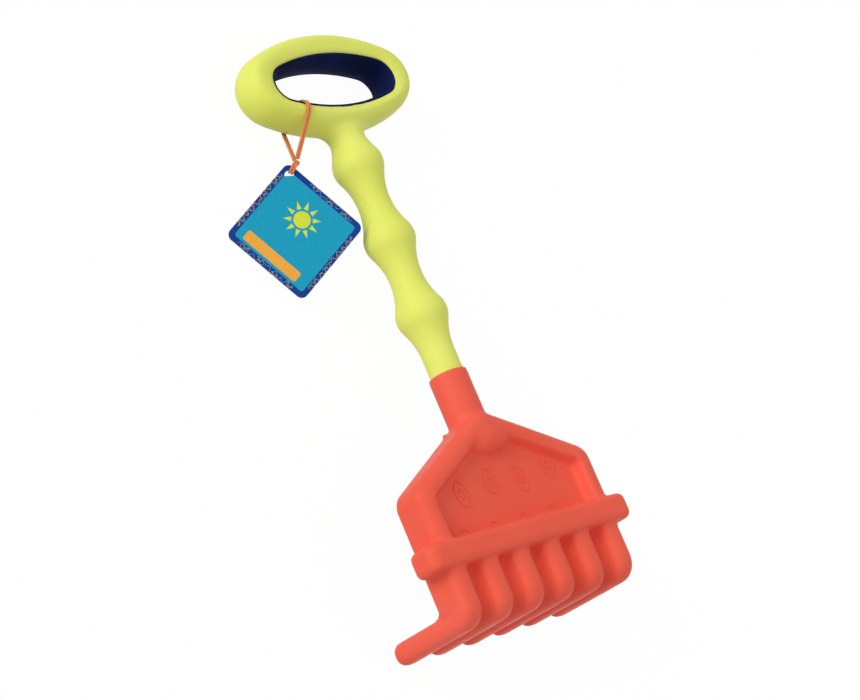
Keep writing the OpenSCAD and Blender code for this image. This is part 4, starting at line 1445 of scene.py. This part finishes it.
class SANDRAKE_OT_stage(bpy.types.Operator):
    """Sets the pale floor, the soft studio light and the camera"""

    bl_idname = "sandrake.stage"
    bl_label = "Stage"

    def execute(self, context):
        scene = context.scene
        scene.view_settings.view_transform = "Standard"
        self.lay_floor(scene)
        self.light(scene)
        data = bpy.data.cameras.new("camera")
        data.lens = CAMERA_LENS
        camera = bpy.data.objects.new("camera", data)
        scene.collection.objects.link(camera)
        right = Vector(CAMERA_RIGHT).normalized()
        back = right.cross(Vector(CAMERA_UP)).normalized()
        turn = Matrix((right, back.cross(right), back)).transposed().to_4x4()
        camera.matrix_world = Matrix.Translation(CAMERA_AT) @ turn
        scene.camera = camera
        return {"FINISHED"}

    def lay_floor(self, scene):
        shell = bmesh.new()
        bmesh.ops.create_grid(shell, x_segments=1, y_segments=1, size=FLOOR_REACH)
        mesh = bpy.data.meshes.new("floor")
        shell.to_mesh(mesh)
        shell.free()
        floor = bpy.data.objects.new("floor", mesh)
        scene.collection.objects.link(floor)
        finish = Finish("floor")
        finish.give({"Base Color": (0.72, 0.72, 0.72, 1), "Roughness": 0.9, "Specular IOR Level": 0.1})
        glow = finish.add("ShaderNodeEmission", {"Color": (1, 1, 1, 1), "Strength": 1.02})
        share = finish.add("ShaderNodeMath", {1: 0.95}, operation="MULTIPLY")
        finish.join(seen_ray(finish.nodes, finish.links), share.inputs[0])
        mix = finish.add("ShaderNodeMixShader")
        finish.join(share.outputs[0], mix.inputs["Fac"])
        finish.join(finish.shader.outputs["BSDF"], mix.inputs[1])
        finish.join(glow.outputs["Emission"], mix.inputs[2])
        finish.join(mix.outputs["Shader"], finish.nodes["Material Output"].inputs["Surface"])
        mesh.materials.append(finish.material)

    def light(self, scene):
        world = bpy.data.worlds.new("studio")
        world.use_nodes = True
        scene.world = world
        nodes, links = world.node_tree.nodes, world.node_tree.links
        soft = nodes["Background"]
        soft.inputs["Color"].default_value = (1, 1, 1, 1)
        soft.inputs["Strength"].default_value = WORLD_LIGHT
        white = nodes.new("ShaderNodeBackground")
        white.inputs["Color"].default_value = (1, 1, 1, 1)
        white.inputs["Strength"].default_value = 1.0
        mix = nodes.new("ShaderNodeMixShader")
        links.new(seen_ray(nodes, links), mix.inputs["Fac"])
        links.new(soft.outputs["Background"], mix.inputs[1])
        links.new(white.outputs["Background"], mix.inputs[2])
        links.new(mix.outputs["Shader"], nodes["World Output"].inputs["Surface"])
        right, up = Vector(CAMERA_RIGHT), Vector(CAMERA_UP)
        toward = right.cross(up)
        for name, (shares, strength, spread) in LAMPS.items():
            way = shares[0] * right + shares[1] * up + shares[2] * toward
            sun = bpy.data.lights.new(name, "SUN")
            sun.energy = strength
            sun.angle = math.radians(spread)
            lamp = bpy.data.objects.new(name, sun)
            scene.collection.objects.link(lamp)
            lamp.rotation_euler = way.to_track_quat("Z", "Y").to_euler()


class SANDRAKE_PT_panel(bpy.types.Panel):
    """Sizes, colours and pieces of the sand rake"""

    bl_idname = "SANDRAKE_PT_panel"
    bl_label = "Toy Sand Rake"
    bl_space_type = "VIEW_3D"
    bl_region_type = "UI"
    bl_category = "Sand Rake"

    def draw(self, context):
        column = self.layout.column()
        for operator in OPERATORS:
            column.operator(operator.bl_idname)
        for name in PROPERTY_GROUPS:
            group = getattr(context.scene, name)
            box = self.layout.box()
            for key in group.bl_rna.properties.keys():
                if key not in ("rna_type", "name"):
                    box.prop(group, key)


OPERATORS = (
    SANDRAKE_OT_stage,
    SANDRAKE_OT_tie,
    SANDRAKE_OT_handle,
    SANDRAKE_OT_liner,
    SANDRAKE_OT_head,
    SANDRAKE_OT_tag,
)
PROPERTY_GROUPS = {
    "sand_rake_handle": SandRakeHandleSizes,
    "sand_rake_head": SandRakeHeadSizes,
    "sand_rake_tag": SandRakeTagSizes,
    "sand_rake_colours": SandRakeColours,
}


def register():
    for group in PROPERTY_GROUPS.values():
        bpy.utils.register_class(group)
    for cls in (*OPERATORS, SANDRAKE_PT_panel):
        bpy.utils.register_class(cls)
    for name, group in PROPERTY_GROUPS.items():
        setattr(bpy.types.Scene, name, PointerProperty(type=group))


def unregister():
    for name in PROPERTY_GROUPS:
        delattr(bpy.types.Scene, name)
    for cls in (SANDRAKE_PT_panel, *reversed(OPERATORS)):
        bpy.utils.unregister_class(cls)
    for group in reversed(PROPERTY_GROUPS.values()):
        bpy.utils.unregister_class(group)


def main():
    register()
    bpy.ops.sandrake.stage()
    bpy.ops.sandrake.tie()
    bpy.ops.sandrake.handle()
    bpy.ops.sandrake.liner()
    bpy.ops.sandrake.head()
    bpy.ops.sandrake.tag()


if __name__ == "__main__":
    main()
